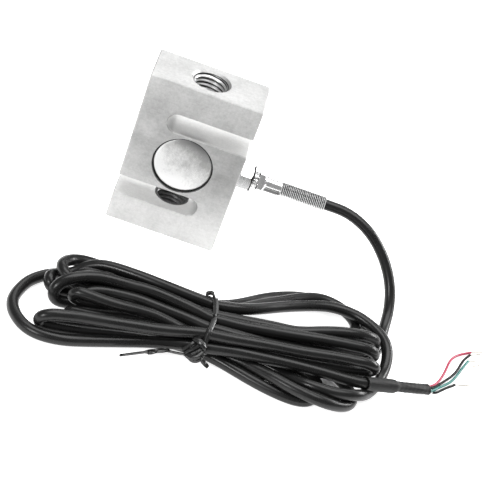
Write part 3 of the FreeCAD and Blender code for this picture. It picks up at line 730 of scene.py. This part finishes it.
def settled(points, held):
    """The turns eased apart until they lie on the floor and on each other, about a diameter apart."""
    points = points.copy()
    free = np.where(held, 0.0, 1.0)[:, None]
    bends = points[1:-1] - (points[:-2] + points[2:]) / 2
    runs = np.linalg.norm(np.diff(points, axis=0), axis=1, keepdims=True)
    allowed = SHARPEST_BEND * (runs[:-1] + runs[1:]) / 2
    bends *= np.minimum(1.0, allowed / np.maximum(np.linalg.norm(bends, axis=1, keepdims=True), TINY))
    for settle_round in range(SETTLE_ROUNDS):
        if settle_round % SETTLE_LOOK_EVERY == 0:
            middles = (points[1:] + points[:-1]) / 2
            reach = np.linalg.norm(middles[:, None] - middles[None], axis=2)
            first, second = np.where(reach < CABLE_DIAMETER + SETTLE_LOOK_REACH)
            apart = second > first + SETTLE_NEIGHBOURS
            first, second = first[apart], second[apart]
        straighter = bends - points[1:-1] + (points[:-2] + points[2:]) / 2
        points[1:-1] += SETTLE_STIFFNESS * straighter * free[1:-1]
        on_first, on_second = nearest_places(points[first], points[first + 1], points[second],
                                             points[second + 1])
        near_first = points[first] + (points[first + 1] - points[first]) * on_first[:, None]
        near_second = points[second] + (points[second + 1] - points[second]) * on_second[:, None]
        gap = near_first - near_second
        distance = np.linalg.norm(gap, axis=1)
        touching = distance < CABLE_DIAMETER
        push = (gap * ((CABLE_DIAMETER - distance) / np.maximum(distance, TINY))[:, None])[touching]
        moves, shares = np.zeros_like(points), np.zeros((len(points), 1))
        for start, along, sign in ((first, on_first, SETTLE_PUSH), (second, on_second, -SETTLE_PUSH)):
            start, along = start[touching], along[touching][:, None]
            for corner, share in ((start, 1 - along), (start + 1, along)):
                np.add.at(moves, corner, sign * push * share)
                np.add.at(shares, corner, share)
        points += free * moves / np.maximum(shares, 1)
        points[:, 2] = np.where(held, points[:, 2], np.maximum(points[:, 2], CABLE_RADIUS))
        steps = np.diff(points, axis=0)
        lengths = np.linalg.norm(steps, axis=1, keepdims=True)
        pull = steps * (lengths - runs) / lengths * SETTLE_PULL
        points[:-1] += pull * free[:-1]
        points[1:] -= pull * free[1:]
    return points


def cord_curve(name, route, diameter, material, replaced, resolution=4, around=6):
    """A round cord on one smooth curve that has the route as its control points."""
    curve = bpy.data.curves.new(name, "CURVE")
    curve.dimensions = "3D"
    curve.bevel_depth = diameter / 2 * MM
    curve.bevel_resolution = around
    curve.use_fill_caps = True
    spline = curve.splines.new("NURBS")
    spline.points.add(len(route) - 1)
    for point, place in zip(spline.points, route):
        point.co = (*mm(place), 1.0)
    spline.order_u = 3
    spline.use_endpoint_u = True
    spline.resolution_u = resolution
    curve.materials.append(material)
    cord = bpy.data.objects.new(name, curve)
    bpy.context.scene.collection.objects.link(cord)
    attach(cord, BODY)
    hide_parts(*replaced)
    return cord


def line_length(line):
    """Along all the line's points, in millimetres."""
    return float(np.linalg.norm(np.diff(np.asarray(line, float), axis=0), axis=1).sum())


def cable(material):
    """The whole cable as one cord, from the bore to its end in the sleeve."""
    points, held = hank_points()
    lead = np.array(LEAD_ROUTE, float)
    whole = np.concatenate([lead, points])
    still = np.concatenate([[True] * len(lead), held])
    route = np.concatenate([np.array(INLET_ROUTE, float), settled(whole, still)])
    cord = cord_curve("cable", route, CABLE_DIAMETER, material,
                      ("cable_inlet", "cable_lead", "cable_hank", "cable_tail"))
    return cord, route


# ---- tie ---------------------------------------------------------------------------------------
TIE_WIDTH = 2.3
TIE_FILM = 0.42
TIE_CORE = 0.9
TIE_BEND_STEPS = 8
TIE_STEP = 0.8                  # between points of the band
TIE_ROUTE_STEPS = 6
# How far along the hank the band bows over its top, for depths from the front.
TIE_BOW = [(-92, 0.2), (-88, 0.4), (-83, 1.0), (-77, 1.3), (-71, 0.4), (-65, -1.2), (-58, -1.4)]
TIE_TURN_OVER = (-79.0, 3.0)    # where on top the strip turns over, and over what distance
TIE_TOP = 8.0                   # above this height the band is on top
TIE_BOW_RISE = (3.0, 9.0)       # heights between which the bow comes in
TIE_STRIP_SIZE = (0.82, 1.25)   # width and thickness of a pulled strip over the band's
TIE_TAIL_TWIST = (0.9, 0.35)    # how far a tail turns to and fro, and how fast
TIE_OVER_FLOOR = 0.1
TIE_WRAP = [
    (27, -91.3, 11.2), (28, -92.1, 11.7), (29.8, -93.3, 11.9), (31.6, -94.1, 11.3), (32.8, -94.5, 10),
]
TIE_WRAP_FACING = (0, -0.45, 0.89)
TIE_STRIP_FACING = (0, -0.88, 0.47)
TIE_STRIPS = {
    "upper": [(29, -90.9, 10.8), (27.6, -93.1, 10), (25.9, -95, 8.4), (24.2, -96, 6.8)],
    "middle": [(30.7, -93.4, 10.8), (29, -95.2, 9.4), (27.3, -96.1, 7.8), (25.5, -96.9, 6.4)],
    "lower": [(32.8, -93.4, 10), (31.3, -95, 9), (29.7, -96.4, 7.8), (27.7, -97.7, 6.6)],
    "heap": [(32.5, -95.4, 9.4), (31.2, -98.1, 8.2), (29.1, -99.3, 7.2), (27.1, -98.4, 6.4),
             (25.4, -96.2, 6)],
    "heap_low": [(33, -95.8, 8.8), (32.1, -97.9, 7.2), (30.7, -99, 6.2), (28.8, -98.6, 5.6),
                 (27.5, -96.9, 5.4)],
}
TIE_TAILS = {
    "long": [(26.8, -96.4, 5.8), (22, -97.4, 5.6), (17.1, -97.6, 5.2), (12.8, -100, 4.6), (9, -101.6, 3.6),
             (0.8, -106.4, 2.4)],
    "curl": [(19, -97.4, 5.8), (16.2, -99.4, 6.3), (13.4, -100.9, 5.2), (11, -101.0, 4.0)],
    "stub": [(32.1, -96.2, 9), (32.2, -97.9, 7.4), (34, -98.7, 6.3), (36.1, -99, 5.2)],
    "eye": [(30.6, -67.6, 15.1), (30.2, -66.6, 16.4), (29, -66.2, 17.3), (27.6, -66.4, 16.9),
            (27, -66.8, 15.9), (28, -67.4, 15.1), (30, -67.8, 15)],
}


def tie_section():
    """A flat strip with a round wire down its middle."""
    half, film, core = TIE_WIDTH / 2, TIE_FILM / 2, TIE_CORE / 2
    rise = [(half, -film), (half, film), (core, film), (core * 0.7, core * 0.72), (0, core)]
    across = rise + [(-x, y) for x, y in reversed(rise[:-1])]
    return across + [(-x, -y) for x, y in across[1:-1]]


def tie_band_line():
    """Round the outermost passes at the tie, bowed along the hank over their tops."""
    radius = CABLE_RADIUS + TIE_CORE / 2
    # Each pass that the band bends round, with the angles where it meets and leaves that pass.
    corners = [(("low", 0), 200, 290), (("low", 5), -70, -20), (("mid", 6), -20, 30), (("top", 4), 30, 90),
               (("top", 0), 90, 150), (("mid", 0), 150, 200)]
    corner_points = []
    for (row, number), first, last in corners:
        _, y, z = tie_pass(row, number)
        for step in range(TIE_BEND_STEPS + 1):
            angle = math.radians(first + (last - first) * step / TIE_BEND_STEPS)
            corner_points.append((TIE_X, y + radius * math.cos(angle), z + radius * math.sin(angle)))
    line = []
    for here, beside in zip(corner_points, corner_points[1:] + corner_points[:1]):
        here, beside = np.array(here), np.array(beside)
        steps = max(1, round(float(np.linalg.norm(beside - here)) / TIE_STEP))
        line.extend(here + (beside - here) * step / steps for step in range(steps))
    depths, bows = zip(*TIE_BOW)
    start, full = TIE_BOW_RISE
    for point in line:
        on_top = min(max((point[2] - start) / (full - start), 0.0), 1.0)
        point[0] += float(np.interp(point[1], depths, bows)) * on_top
    return line


def twist_tie(material):
    """Band, wrap, pulled strips and tails of the wire tie, as one piece."""
    section = tie_section()
    points, faces = [], []

    def add(line, outline, turns=None, up=(0, 0, 1), closed=True):
        base = len(points)
        points.extend(swept(line, outline, up, turns))
        faces.extend(tuple(base + corner for corner in face)
                     for face in ring_faces(len(line), len(outline), closed))

    band = tie_band_line()
    middle, reach = TIE_TURN_OVER
    turns = []
    for _, depth, height in band:
        turned = math.pi * eased((depth - middle) / reach + 0.5)
        turns.append(math.pi / 2 + (turned if height > TIE_TOP else 0.0))
    add(band, section, up=(1, 0, 0), closed=False, turns=turns)
    add(smooth_line(TIE_WRAP, TIE_ROUTE_STEPS), section, up=TIE_WRAP_FACING)
    wider, thicker = TIE_STRIP_SIZE
    strip = [(x * wider, y * thicker) for x, y in section]
    for route in TIE_STRIPS.values():
        add(smooth_line(route, TIE_ROUTE_STEPS), strip, up=TIE_STRIP_FACING)
    swing, pace = TIE_TAIL_TWIST
    for route in TIE_TAILS.values():
        line = smooth_line(route, TIE_ROUTE_STEPS)
        add(line, strip, [swing * math.sin(place * pace) for place in range(len(line))])
    points = [(x, y, max(z, TIE_OVER_FLOOR)) for x, y, z in points]
    return make_piece("wire_tie", points, faces, material, ("twist_tie",))


# ---- sleeve and wires --------------------------------------------------------------------------
def sleeve_radius(reach, ease, length, angle):
    """The sleeve's outer radius, with its shallow creases and the lips at both ends."""
    fat = CABLE_RADIUS + SLEEVE_WALL
    radius = fat + (SLEEVE_THIN_RADIUS - fat) * ease
    crease = 0.05 * math.sin(3 * angle + reach * 0.9) * math.sin(reach * 1.7) * (0.4 + ease)
    crease += 0.035 * math.sin(7 * angle - reach * 0.5)
    lip = 0.14 * max(0.0, 1 - abs(reach - length) / 0.8) + 0.10 * max(0.0, 1 - reach / 0.7)
    return radius + crease + lip


def end_sleeve(material):
    """Shrunk sleeve: full over the cable, necked and slightly flat over the wires, with a rolled end."""
    along, across, upward = sleeve_frame()
    start = Vector(SLEEVE_START) - along * SLEEVE_SET_BACK
    length = (Vector(SLEEVE_END) - Vector(SLEEVE_START)).length
    around, rings = 40, 96
    outer, inner = [], []
    for ring in range(rings + 1):
        reach = length * ring / rings
        past_step = reach - SLEEVE_FAT_LENGTH
        ease = eased(past_step / SLEEVE_TAPER_LENGTH)
        flat = SLEEVE_FLATNESS * ease * min(1.0, past_step / (length - SLEEVE_FAT_LENGTH) + 0.3)
        centre = start + along * reach
        for angle in angles_round(around):
            size = sleeve_radius(reach, ease, length, angle)
            direction = across * math.cos(angle) * (1 + flat) + upward * math.sin(angle) * (1 - flat)
            outer.append(centre + direction * size)
            inner.append(centre + direction * (size - SLEEVE_WALL * 0.9))
    faces = sheet_faces(rings, around)
    shift = len(outer)
    for step in range(around):
        beside = (step + 1) % around
        top = rings * around
        faces.append((step, shift + step, shift + beside, beside))
        faces.append((top + beside, shift + top + beside, shift + top + step, top + step))
    return make_piece("cable_sleeve", outer + inner, faces, material, ("end_sleeve",))


def wire_route(name):
    """A conductor's route from inside the sleeve's end to where its insulation stops."""
    along, across, upward = sleeve_frame()
    seat = math.radians(WIRE_SEATS[name])
    start = Vector(SLEEVE_END) + (across * math.cos(seat) + upward * math.sin(seat)) * WIRE_RING_RADIUS
    inside = [tuple(start - along * depth) for depth in (WIRE_INSIDE[name], WIRE_STRAIGHT)]
    return inside + [tuple(start)] + WIRE_ROUTES[name]


def bare_tip(name, route, material):
    """The conductor's twisted strands past its insulation."""
    start, end = np.array(route[-1], float), np.array(WIRE_TIPS[name], float)
    axis = (end - start) / np.linalg.norm(end - start)
    side = np.cross(axis, (0, 0, 1))
    side /= np.linalg.norm(side)
    upward = np.cross(side, axis)
    points, faces = [], []
    outline = circle(STRAND_RADIUS, 7)
    for strand in range(STRANDS):
        line = []
        for step in range(STRAND_STEPS + 1):
            share = step / STRAND_STEPS
            angle = 2 * math.pi * (strand / STRANDS + STRAND_TURNS * share)
            spread = STRAND_SPREAD * (1 + 0.25 * max(0.0, share - 0.8))
            line.append(start + (end - start) * (share * (1 - 0.02 * strand))
                        + (side * math.cos(angle) + upward * math.sin(angle)) * spread)
        base = len(points)
        points.extend(swept(line, outline))
        faces.extend(tuple(base + corner for corner in face)
                     for face in ring_faces(len(line), len(outline)))
    return make_piece(name + "_strands", points, faces, material)


# ---- block details -----------------------------------------------------------------------------
def thread_sheet(name, low, high, pitch, root, crest, backing, material, mouth=None, axis="z"):
    """A ring-shaped skin whose inner or outer face carries a helical thread of triangular ridges."""
    around = THREAD_POINTS_AROUND
    rows = math.ceil((high - low) / pitch * THREAD_ROWS_A_TURN)
    face, back = [], []
    for row in range(rows + 1):
        level = low + (high - low) * row / rows
        for step in range(around):
            angle = 2 * math.pi * step / around
            phase = (level / pitch - step / around) % 1.0
            ridge = THREAD_STEEPNESS * (1 - abs(2 * phase - 1)) - THREAD_ROOT_FLAT
            ridge = min(1.0, max(0.0, ridge))
            radius = root + (crest - root) * ridge
            if mouth is not None:
                radius = max(radius, root - (mouth - level if mouth > low + pitch else level - mouth))
            for ring, size in ((face, radius), (back, backing)):
                across, upward = size * math.cos(angle), size * math.sin(angle)
                ring.append((across, upward, level) if axis == "z"
                            else (level, across, GLAND_HEIGHT + upward))
    points = face + back
    shift = len(face)
    faces = []
    for row in range(rows):
        for step in range(around):
            beside = (step + 1) % around
            here, above = row * around, (row + 1) * around
            faces.append((here + step, above + step, above + beside, here + beside))
            faces.append((shift + here + step, shift + here + beside, shift + above + beside,
                          shift + above + step))
    for edge in (0, rows * around):
        for step in range(around):
            beside = (step + 1) % around
            faces.append((edge + step, edge + beside, shift + edge + beside, shift + edge + step))
    return make_piece(name, points, faces, material)


def thread_ridges(block_top, block_bottom, gland):
    """The threads of both end faces and of the gland's fitting."""
    wall = THREAD_ROOT_RADIUS
    ends = [
        ("top_thread_ridges", BLOCK_TOP - ARM_HEIGHT, BLOCK_TOP - THREAD_MOUTH, BLOCK_TOP - THREAD_MOUTH,
         block_top),
        ("bottom_thread_ridges", THREAD_MOUTH, ARM_HEIGHT, THREAD_MOUTH, block_bottom),
    ]
    for name, low, high, mouth, material in ends:
        thread_sheet(name, low, high, THREAD_PITCH, wall - THREAD_LIFT, THREAD_CREST_RADIUS,
                     wall + THREAD_BACKING, material, mouth=mouth)
    thread_sheet("gland_thread_ridges", GLAND_HEX_END, NUT_LOW.x, GLAND_THREAD_PITCH, GLAND_THREAD_ROOT,
                 GLAND_THREAD_CREST, GLAND_THREAD_ROOT - GLAND_THREAD_BACKING, gland, axis="x")


def domed_cover(name, side, material, replaced):
    """Pressed disc, its middle standing a little proud of its rolled rim."""
    around, steps = 120, 22
    thickness = COVER_HIGH.y - COVER_LOW.y
    front = side * abs(COVER_LOW.y)
    profile = [(COVER_RADIUS * step / steps, COVER_DOME * (step / steps) ** 2) for step in range(1, steps)]
    rim = COVER_DOME + COVER_RIM
    profile += [(COVER_RADIUS - COVER_RIM * 0.3, COVER_DOME + COVER_RIM * 0.3), (COVER_RADIUS, rim),
                (COVER_RADIUS, thickness), (0.5, thickness)]
    points = [(0, front, MID_HEIGHT)]
    for radius, depth in profile:
        points.extend((x, front - side * depth, MID_HEIGHT + z) for x, z in circle(radius, around))
    faces = [(0, 1 + step, 1 + (step + 1) % around) for step in range(around)]
    for ring in range(len(profile) - 1):
        low, high = 1 + ring * around, 1 + (ring + 1) * around
        for step in range(around):
            beside = (step + 1) % around
            faces.append((low + step, high + step, high + beside, low + beside))
    faces.append(tuple(1 + (len(profile) - 1) * around + step for step in reversed(range(around))))
    if side > 0:
        faces = [tuple(reversed(corners)) for corners in faces]
    return make_piece(name, points, faces, material, replaced)


def sealant_bead(name, side, material, replaced):
    """Sealant pressed into the ring between cover and bore, smeared unevenly over the edges."""
    around, profile_steps = 180, 8
    front = side * abs(SEALANT_LOW.y)
    points = []
    for angle in angles_round(around):
        swell = 0.5 + 0.5 * math.sin(angle + 3.6) + 0.25 * math.sin(3 * angle)
        swell += 0.15 * math.sin(8 * angle + 1)
        for place in range(profile_steps + 1):
            share = place / profile_steps
            radius = COVER_RADIUS + (BORE_RADIUS - COVER_RADIUS) * share
            dome = math.sin(math.pi * share)
            height = 0.10 + 0.30 * swell * dome + 0.05 * math.sin(11 * angle + 5 * share)
            points.append((radius * math.cos(angle), front + side * height,
                           MID_HEIGHT + radius * math.sin(angle)))
        for radius in (BORE_RADIUS, COVER_RADIUS):
            points.append((radius * math.cos(angle), front - side * SEALANT_DEPTH,
                           MID_HEIGHT + radius * math.sin(angle)))
    ring = profile_steps + 3
    faces = []
    for step in range(around):
        here, beside = step * ring, (step + 1) % around * ring
        for corner in range(ring):
            after = (corner + 1) % ring
            face = (here + corner, here + after, beside + after, beside + corner)
            faces.append(face if side < 0 else tuple(reversed(face)))
    return make_piece(name, points, faces, material, replaced)


def hexagon_rings(flats, low, high, turn):
    """Rings of a hexagonal bar, one flat turned up from the front, corners crowned at both ends."""
    rings = []
    depths = [HEX_CROWN * share for share in (0.0, 0.35, 0.7, 1.0, 1.4)]
    places = [(low + depth, depth) for depth in depths]
    places += [(high - depth, depth) for depth in reversed(depths)]
    for x, depth in places:
        ring = []
        for angle in angles_round(GLAND_POINTS_AROUND):
            off_flat = (angle + turn + math.pi / 6) % (math.pi / 3) - math.pi / 6
            crown = flats / 2 - HEX_CROWN_START + depth * HEX_CROWN_SLOPE
            reach = min(flats / 2 / math.cos(off_flat), crown)
            ring.append((x, reach * math.cos(angle), GLAND_HEIGHT + reach * math.sin(angle)))
        rings.append(ring)
    return rings


def turned_rings(profile):
    """Rings of a turned part on the gland's axis from its (x, radius) profile."""
    return [[(x, across, GLAND_HEIGHT + upward) for across, upward in circle(radius, GLAND_POINTS_AROUND)]
            for x, radius in profile]


def gland_part(name, parts, material, replaced):
    """Hexagons, washers and necks, each a closed run of rings, as one crisp piece."""
    points, faces = [], []
    for rings in parts:
        base, around = len(points), len(rings[0])
        for ring in rings:
            points.extend(ring)
        faces.extend(tuple(base + corner for corner in reversed(face))
                     for face in ring_faces(len(rings), around))
    piece = make_piece(name, points, faces, material, replaced)
    piece.data.polygons.foreach_set("use_smooth", [False] * len(piece.data.polygons))
    return piece


def gland_fitting(material):
    """The fitting screwed into the block, with its thread's core, which the ridges cover."""
    bore = CABLE_RADIUS + GLAND_BORE_SLACK
    core = [(GLAND_HEX_END, bore), (GLAND_HEX_END, GLAND_THREAD_ROOT), (GLAND_HIGH.x, GLAND_THREAD_ROOT),
            (GLAND_HIGH.x, bore)]
    hexagon = hexagon_rings(FITTING_FLATS, BLOCK_SIDE, GLAND_HEX_END, 0.0)
    return gland_part("gland_fitting", [hexagon, turned_rings(core)], material, ("gland_body",))


def gland_washer(material):
    """Thin black washer against the fitting's hexagon; its rubber's black is painted shade, standing in for
    the dark line at the hexagon's end.
    """
    start, end, edge = GLAND_HEX_END, GLAND_HEX_END + WASHER_THICKNESS, WASHER_RADIUS - WASHER_ROUND
    profile = [(start, GLAND_THREAD_ROOT), (start, edge), (start + WASHER_ROUND, WASHER_RADIUS),
               (end - WASHER_ROUND, WASHER_RADIUS), (end, edge), (end, GLAND_THREAD_ROOT)]
    return gland_part("gland_washer", [turned_rings(profile)], material, ())


def clamping_nut(material):
    """The clamping nut, with a smooth neck that has one shallow groove and a broken edge."""
    bore = CABLE_RADIUS + GLAND_BORE_SLACK
    start, end, neck = NUT_LOW.x + NUT_HEX_LENGTH, NUT_HIGH.x, NUT_NECK_RADIUS
    groove, edge = 0.2, 0.25
    profile = [(start, bore), (start, neck + 0.7), (start + 0.9, neck), (end - 1.3, neck),
               (end - 1.1, neck - groove), (end - 0.8, neck - groove), (end - 0.6, neck),
               (end - edge, neck), (end, neck - edge), (end, bore)]
    hexagon = hexagon_rings(NUT_FLATS, NUT_LOW.x, start, math.radians(30))
    return gland_part("clamping_nut", [hexagon, turned_rings(profile)], material, ("gland_nut",))


def coil_guard(material):
    """Close-wound round wire, its ends cut square."""
    mean = (GUARD_HIGH.z - GUARD_LOW.z - GUARD_WIRE) / 2 + GUARD_SLACK
    length = GUARD_HIGH.x - GUARD_LOW.x - GUARD_WIRE
    turns = length / GUARD_PITCH
    steps = round(turns * GUARD_STEPS_A_TURN)
    line = []
    for step in range(steps + 1):
        share = step / steps
        angle = 2 * math.pi * turns * share
        line.append((GUARD_LOW.x + GUARD_WIRE / 2 + length * share, mean * math.cos(angle),
                     GLAND_HEIGHT + mean * math.sin(angle)))
    outline = circle(GUARD_WIRE / 2 * GUARD_FULLNESS, GUARD_POINTS_AROUND)
    points = swept(line, outline, up=(1, 0, 0))
    faces = ring_faces(len(line), GUARD_POINTS_AROUND)
    return make_piece("coil_guard", points, faces, material, ("spring_guard",))


# ---- stage -------------------------------------------------------------------------------------
LENS = 104.4
FILM_WIDTH = 36.0
CAMERA_PLACE = (-4.8, -557.0, 373.5)
CAMERA_RIGHT = (0.9424, 0.1274, 0.3093)
CAMERA_DOWN = (0.3270, -0.5459, -0.7714)
CAMERA_FORWARD = (0.0705, 0.8281, -0.5561)
FLOOR_REACH = 4000
ROOM_LIGHT = 0.30
# Each soft light's place, what it faces, its width and height, and its power.
SOFTBOXES = {
    "overhead": ((60, 70, 900), (20, -40, 0), (1000, 560), 7.8),
    "back": ((120, 820, 640), (10, -20, 30), (1200, 260), 2.7),
    "front_left": ((-420, -760, 520), (10, -40, 20), (360, 200), 4.0),
    "right": ((640, 340, 320), (90, -60, 10), (420, 140), 3.2),
}


def camera():
    """Over the front, tipped down and rolled, as a product is shot on a table."""
    data = bpy.data.cameras.new("camera")
    data.lens = LENS
    data.sensor_width = FILM_WIDTH
    eye = bpy.data.objects.new("camera", data)
    bpy.context.scene.collection.objects.link(eye)
    columns = Matrix((Vector(CAMERA_RIGHT), -Vector(CAMERA_DOWN), -Vector(CAMERA_FORWARD))).transposed()
    eye.matrix_world = Matrix.Translation(mm(CAMERA_PLACE)) @ columns.to_4x4()
    bpy.context.scene.camera = eye


def softbox(name, place, target, size, power):
    """A rectangular soft light at a place, facing a target, both in millimetres."""
    data = bpy.data.lights.new(name, "AREA")
    data.shape = "RECTANGLE"
    data.size, data.size_y = mm(size)
    data.energy = power
    lamp = bpy.data.objects.new(name, data)
    bpy.context.scene.collection.objects.link(lamp)
    lamp.location = mm(place)
    lamp.rotation_mode = "QUATERNION"
    lamp.rotation_quaternion = (Vector(target) - Vector(place)).to_track_quat("-Z", "Y")


def floor(material):
    """White paper far wider than the view."""
    mesh = bpy.data.meshes.new("floor")
    corners = [(x * FLOOR_REACH, y * FLOOR_REACH, 0) for x, y in ((-1, -1), (1, -1), (1, 1), (-1, 1))]
    mesh.from_pydata([mm(corner) for corner in corners], [], [(0, 1, 2, 3)])
    mesh.materials.append(material)
    paper = bpy.data.objects.new("floor", mesh)
    bpy.context.scene.collection.objects.link(paper)


def surroundings():
    """White room light, so that metal has something pale to reflect."""
    world = bpy.data.worlds.new("room")
    world.use_nodes = True
    background = world.node_tree.nodes["Background"]
    background.inputs["Color"].default_value = grey(1.0)
    background.inputs["Strength"].default_value = ROOM_LIGHT
    bpy.context.scene.world = world
    bpy.context.scene.view_settings.view_transform = "Standard"


# ---- the load cell -----------------------------------------------------------------------------
def paint(finish, *nodes):
    """Gives kept CAD nodes their finish."""
    for node in nodes:
        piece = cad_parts[node]
        piece.data.materials.clear()
        piece.data.materials.append(finish)


def kept_nodes(seal_rubber, tin):
    """The block, and what lies inside it and the gland, keep their solids' shapes."""
    foil = soft_plastic("gauge_foil", (0.55, 0.30, 0.08, 1), (0.70, 0.42, 0.15, 1), 0.4)
    board = soft_plastic("board_green", (0.02, 0.16, 0.06, 1), (0.03, 0.24, 0.10, 1), 0.4)
    paint(plated_steel(), "load_cell_body")
    paint(seal_rubber, "gland_seal")
    paint(dull_rubber("soft_potting", 0.05, 0.6, 300.0), "cavity_potting")
    paint(foil, *(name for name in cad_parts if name.startswith("gauge")))
    paint(board, "terminal_board")
    paint(tin, "inner_leads")


def covers():
    """A sealed cover plate in each face of the bore."""
    steel = spun_cover_steel()
    paste = dull_rubber("seal_paste", 0.004, 0.5, 500.0)
    for face, side in (("front", -1), ("rear", 1)):
        domed_cover(face + "_cover_disc", side, steel, (face + "_cover",))
    for face, side in (("front", -1), ("rear", 1)):
        sealant_bead(face + "_sealant_bead", side, paste, (face + "_sealant",))


def wires(tin):
    """The insulated wires out of the sleeve, each with its bare tip."""
    skins = {
        "wire_red": soft_plastic("red_skin", (0.34, 0.010, 0.05, 1), (0.46, 0.02, 0.08, 1), 0.34),
        "wire_black": soft_plastic("black_skin", grey(0.002), grey(0.005), 0.5, gloss=0.2),
        "wire_green": soft_plastic("green_skin", (0.004, 0.12, 0.105, 1), (0.012, 0.19, 0.165, 1), 0.34),
        "wire_white": soft_plastic("white_skin", grey(0.72), grey(0.84), 0.38),
        "wire_drain": soft_plastic("drain_skin", grey(0.002), grey(0.006), 0.5, gloss=0.2),
    }
    for name in WIRE_ROUTES:
        path = wire_route(name)
        wire = cord_curve(name + "_insulation", path, WIRE_DIAMETER, skins[name], (name,), 8, 4)
        tip = bare_tip(name, path, tin)
        mm(SLEEVE_END)
        line_length(smooth_line(path, 8)) * MM


def load_cell():
    """The block with its covers and threads, the gland and guard, and the cable with all that it carries."""
    # This rubber is the gland seal's own colour, and on the washer it is painted shade for the dark line at
    # the hexagon's end.
    seal_rubber = dull_rubber("seal_rubber", 0.02, 0.55, 400.0)
    gland_metal = turned_metal("gland_metal", 0.72, 0.92, 0.22, painted_shade_under_neck)
    tin = tinned_copper()
    kept_nodes(seal_rubber, tin)
    # Painted shade: the bottom hole's thread steel is near black for the shade inside that hole, and the top
    # hole's thread darkens toward its root.
    thread_ridges(turned_metal("thread_steel", 0.60, 0.85, 0.36, painted_shade_near_root),
                  turned_metal("painted_shade_thread", 0.08, 0.20, 0.34), gland_metal)
    covers()
    fitting, washer, nut = gland_fitting(gland_metal), gland_washer(seal_rubber), clamping_nut(gland_metal)
    guard = coil_guard(coiled_wire_steel())
    cord, route = cable(cable_jacket())
    tie = twist_tie(soft_plastic("tie_film", grey(0.004), grey(0.020), 0.24, gloss=0.5))
    sleeve = end_sleeve(soft_plastic("sleeve_film", grey(0.004), grey(0.010), 0.55, 500.0, 0.35, gloss=0.3))
    mm((BLOCK_SIDE, 0, GLAND_HEIGHT))
    line_length(smooth_line(route, 6)) * MM
    wires(tin)


def stage():
    """The paper, the room's light, the soft lights and the camera."""
    floor(floor_paper())
    surroundings()
    for name, (place, target, size, power) in SOFTBOXES.items():
        softbox(name, place, target, size, power)
    camera()


load_cell()
stage()
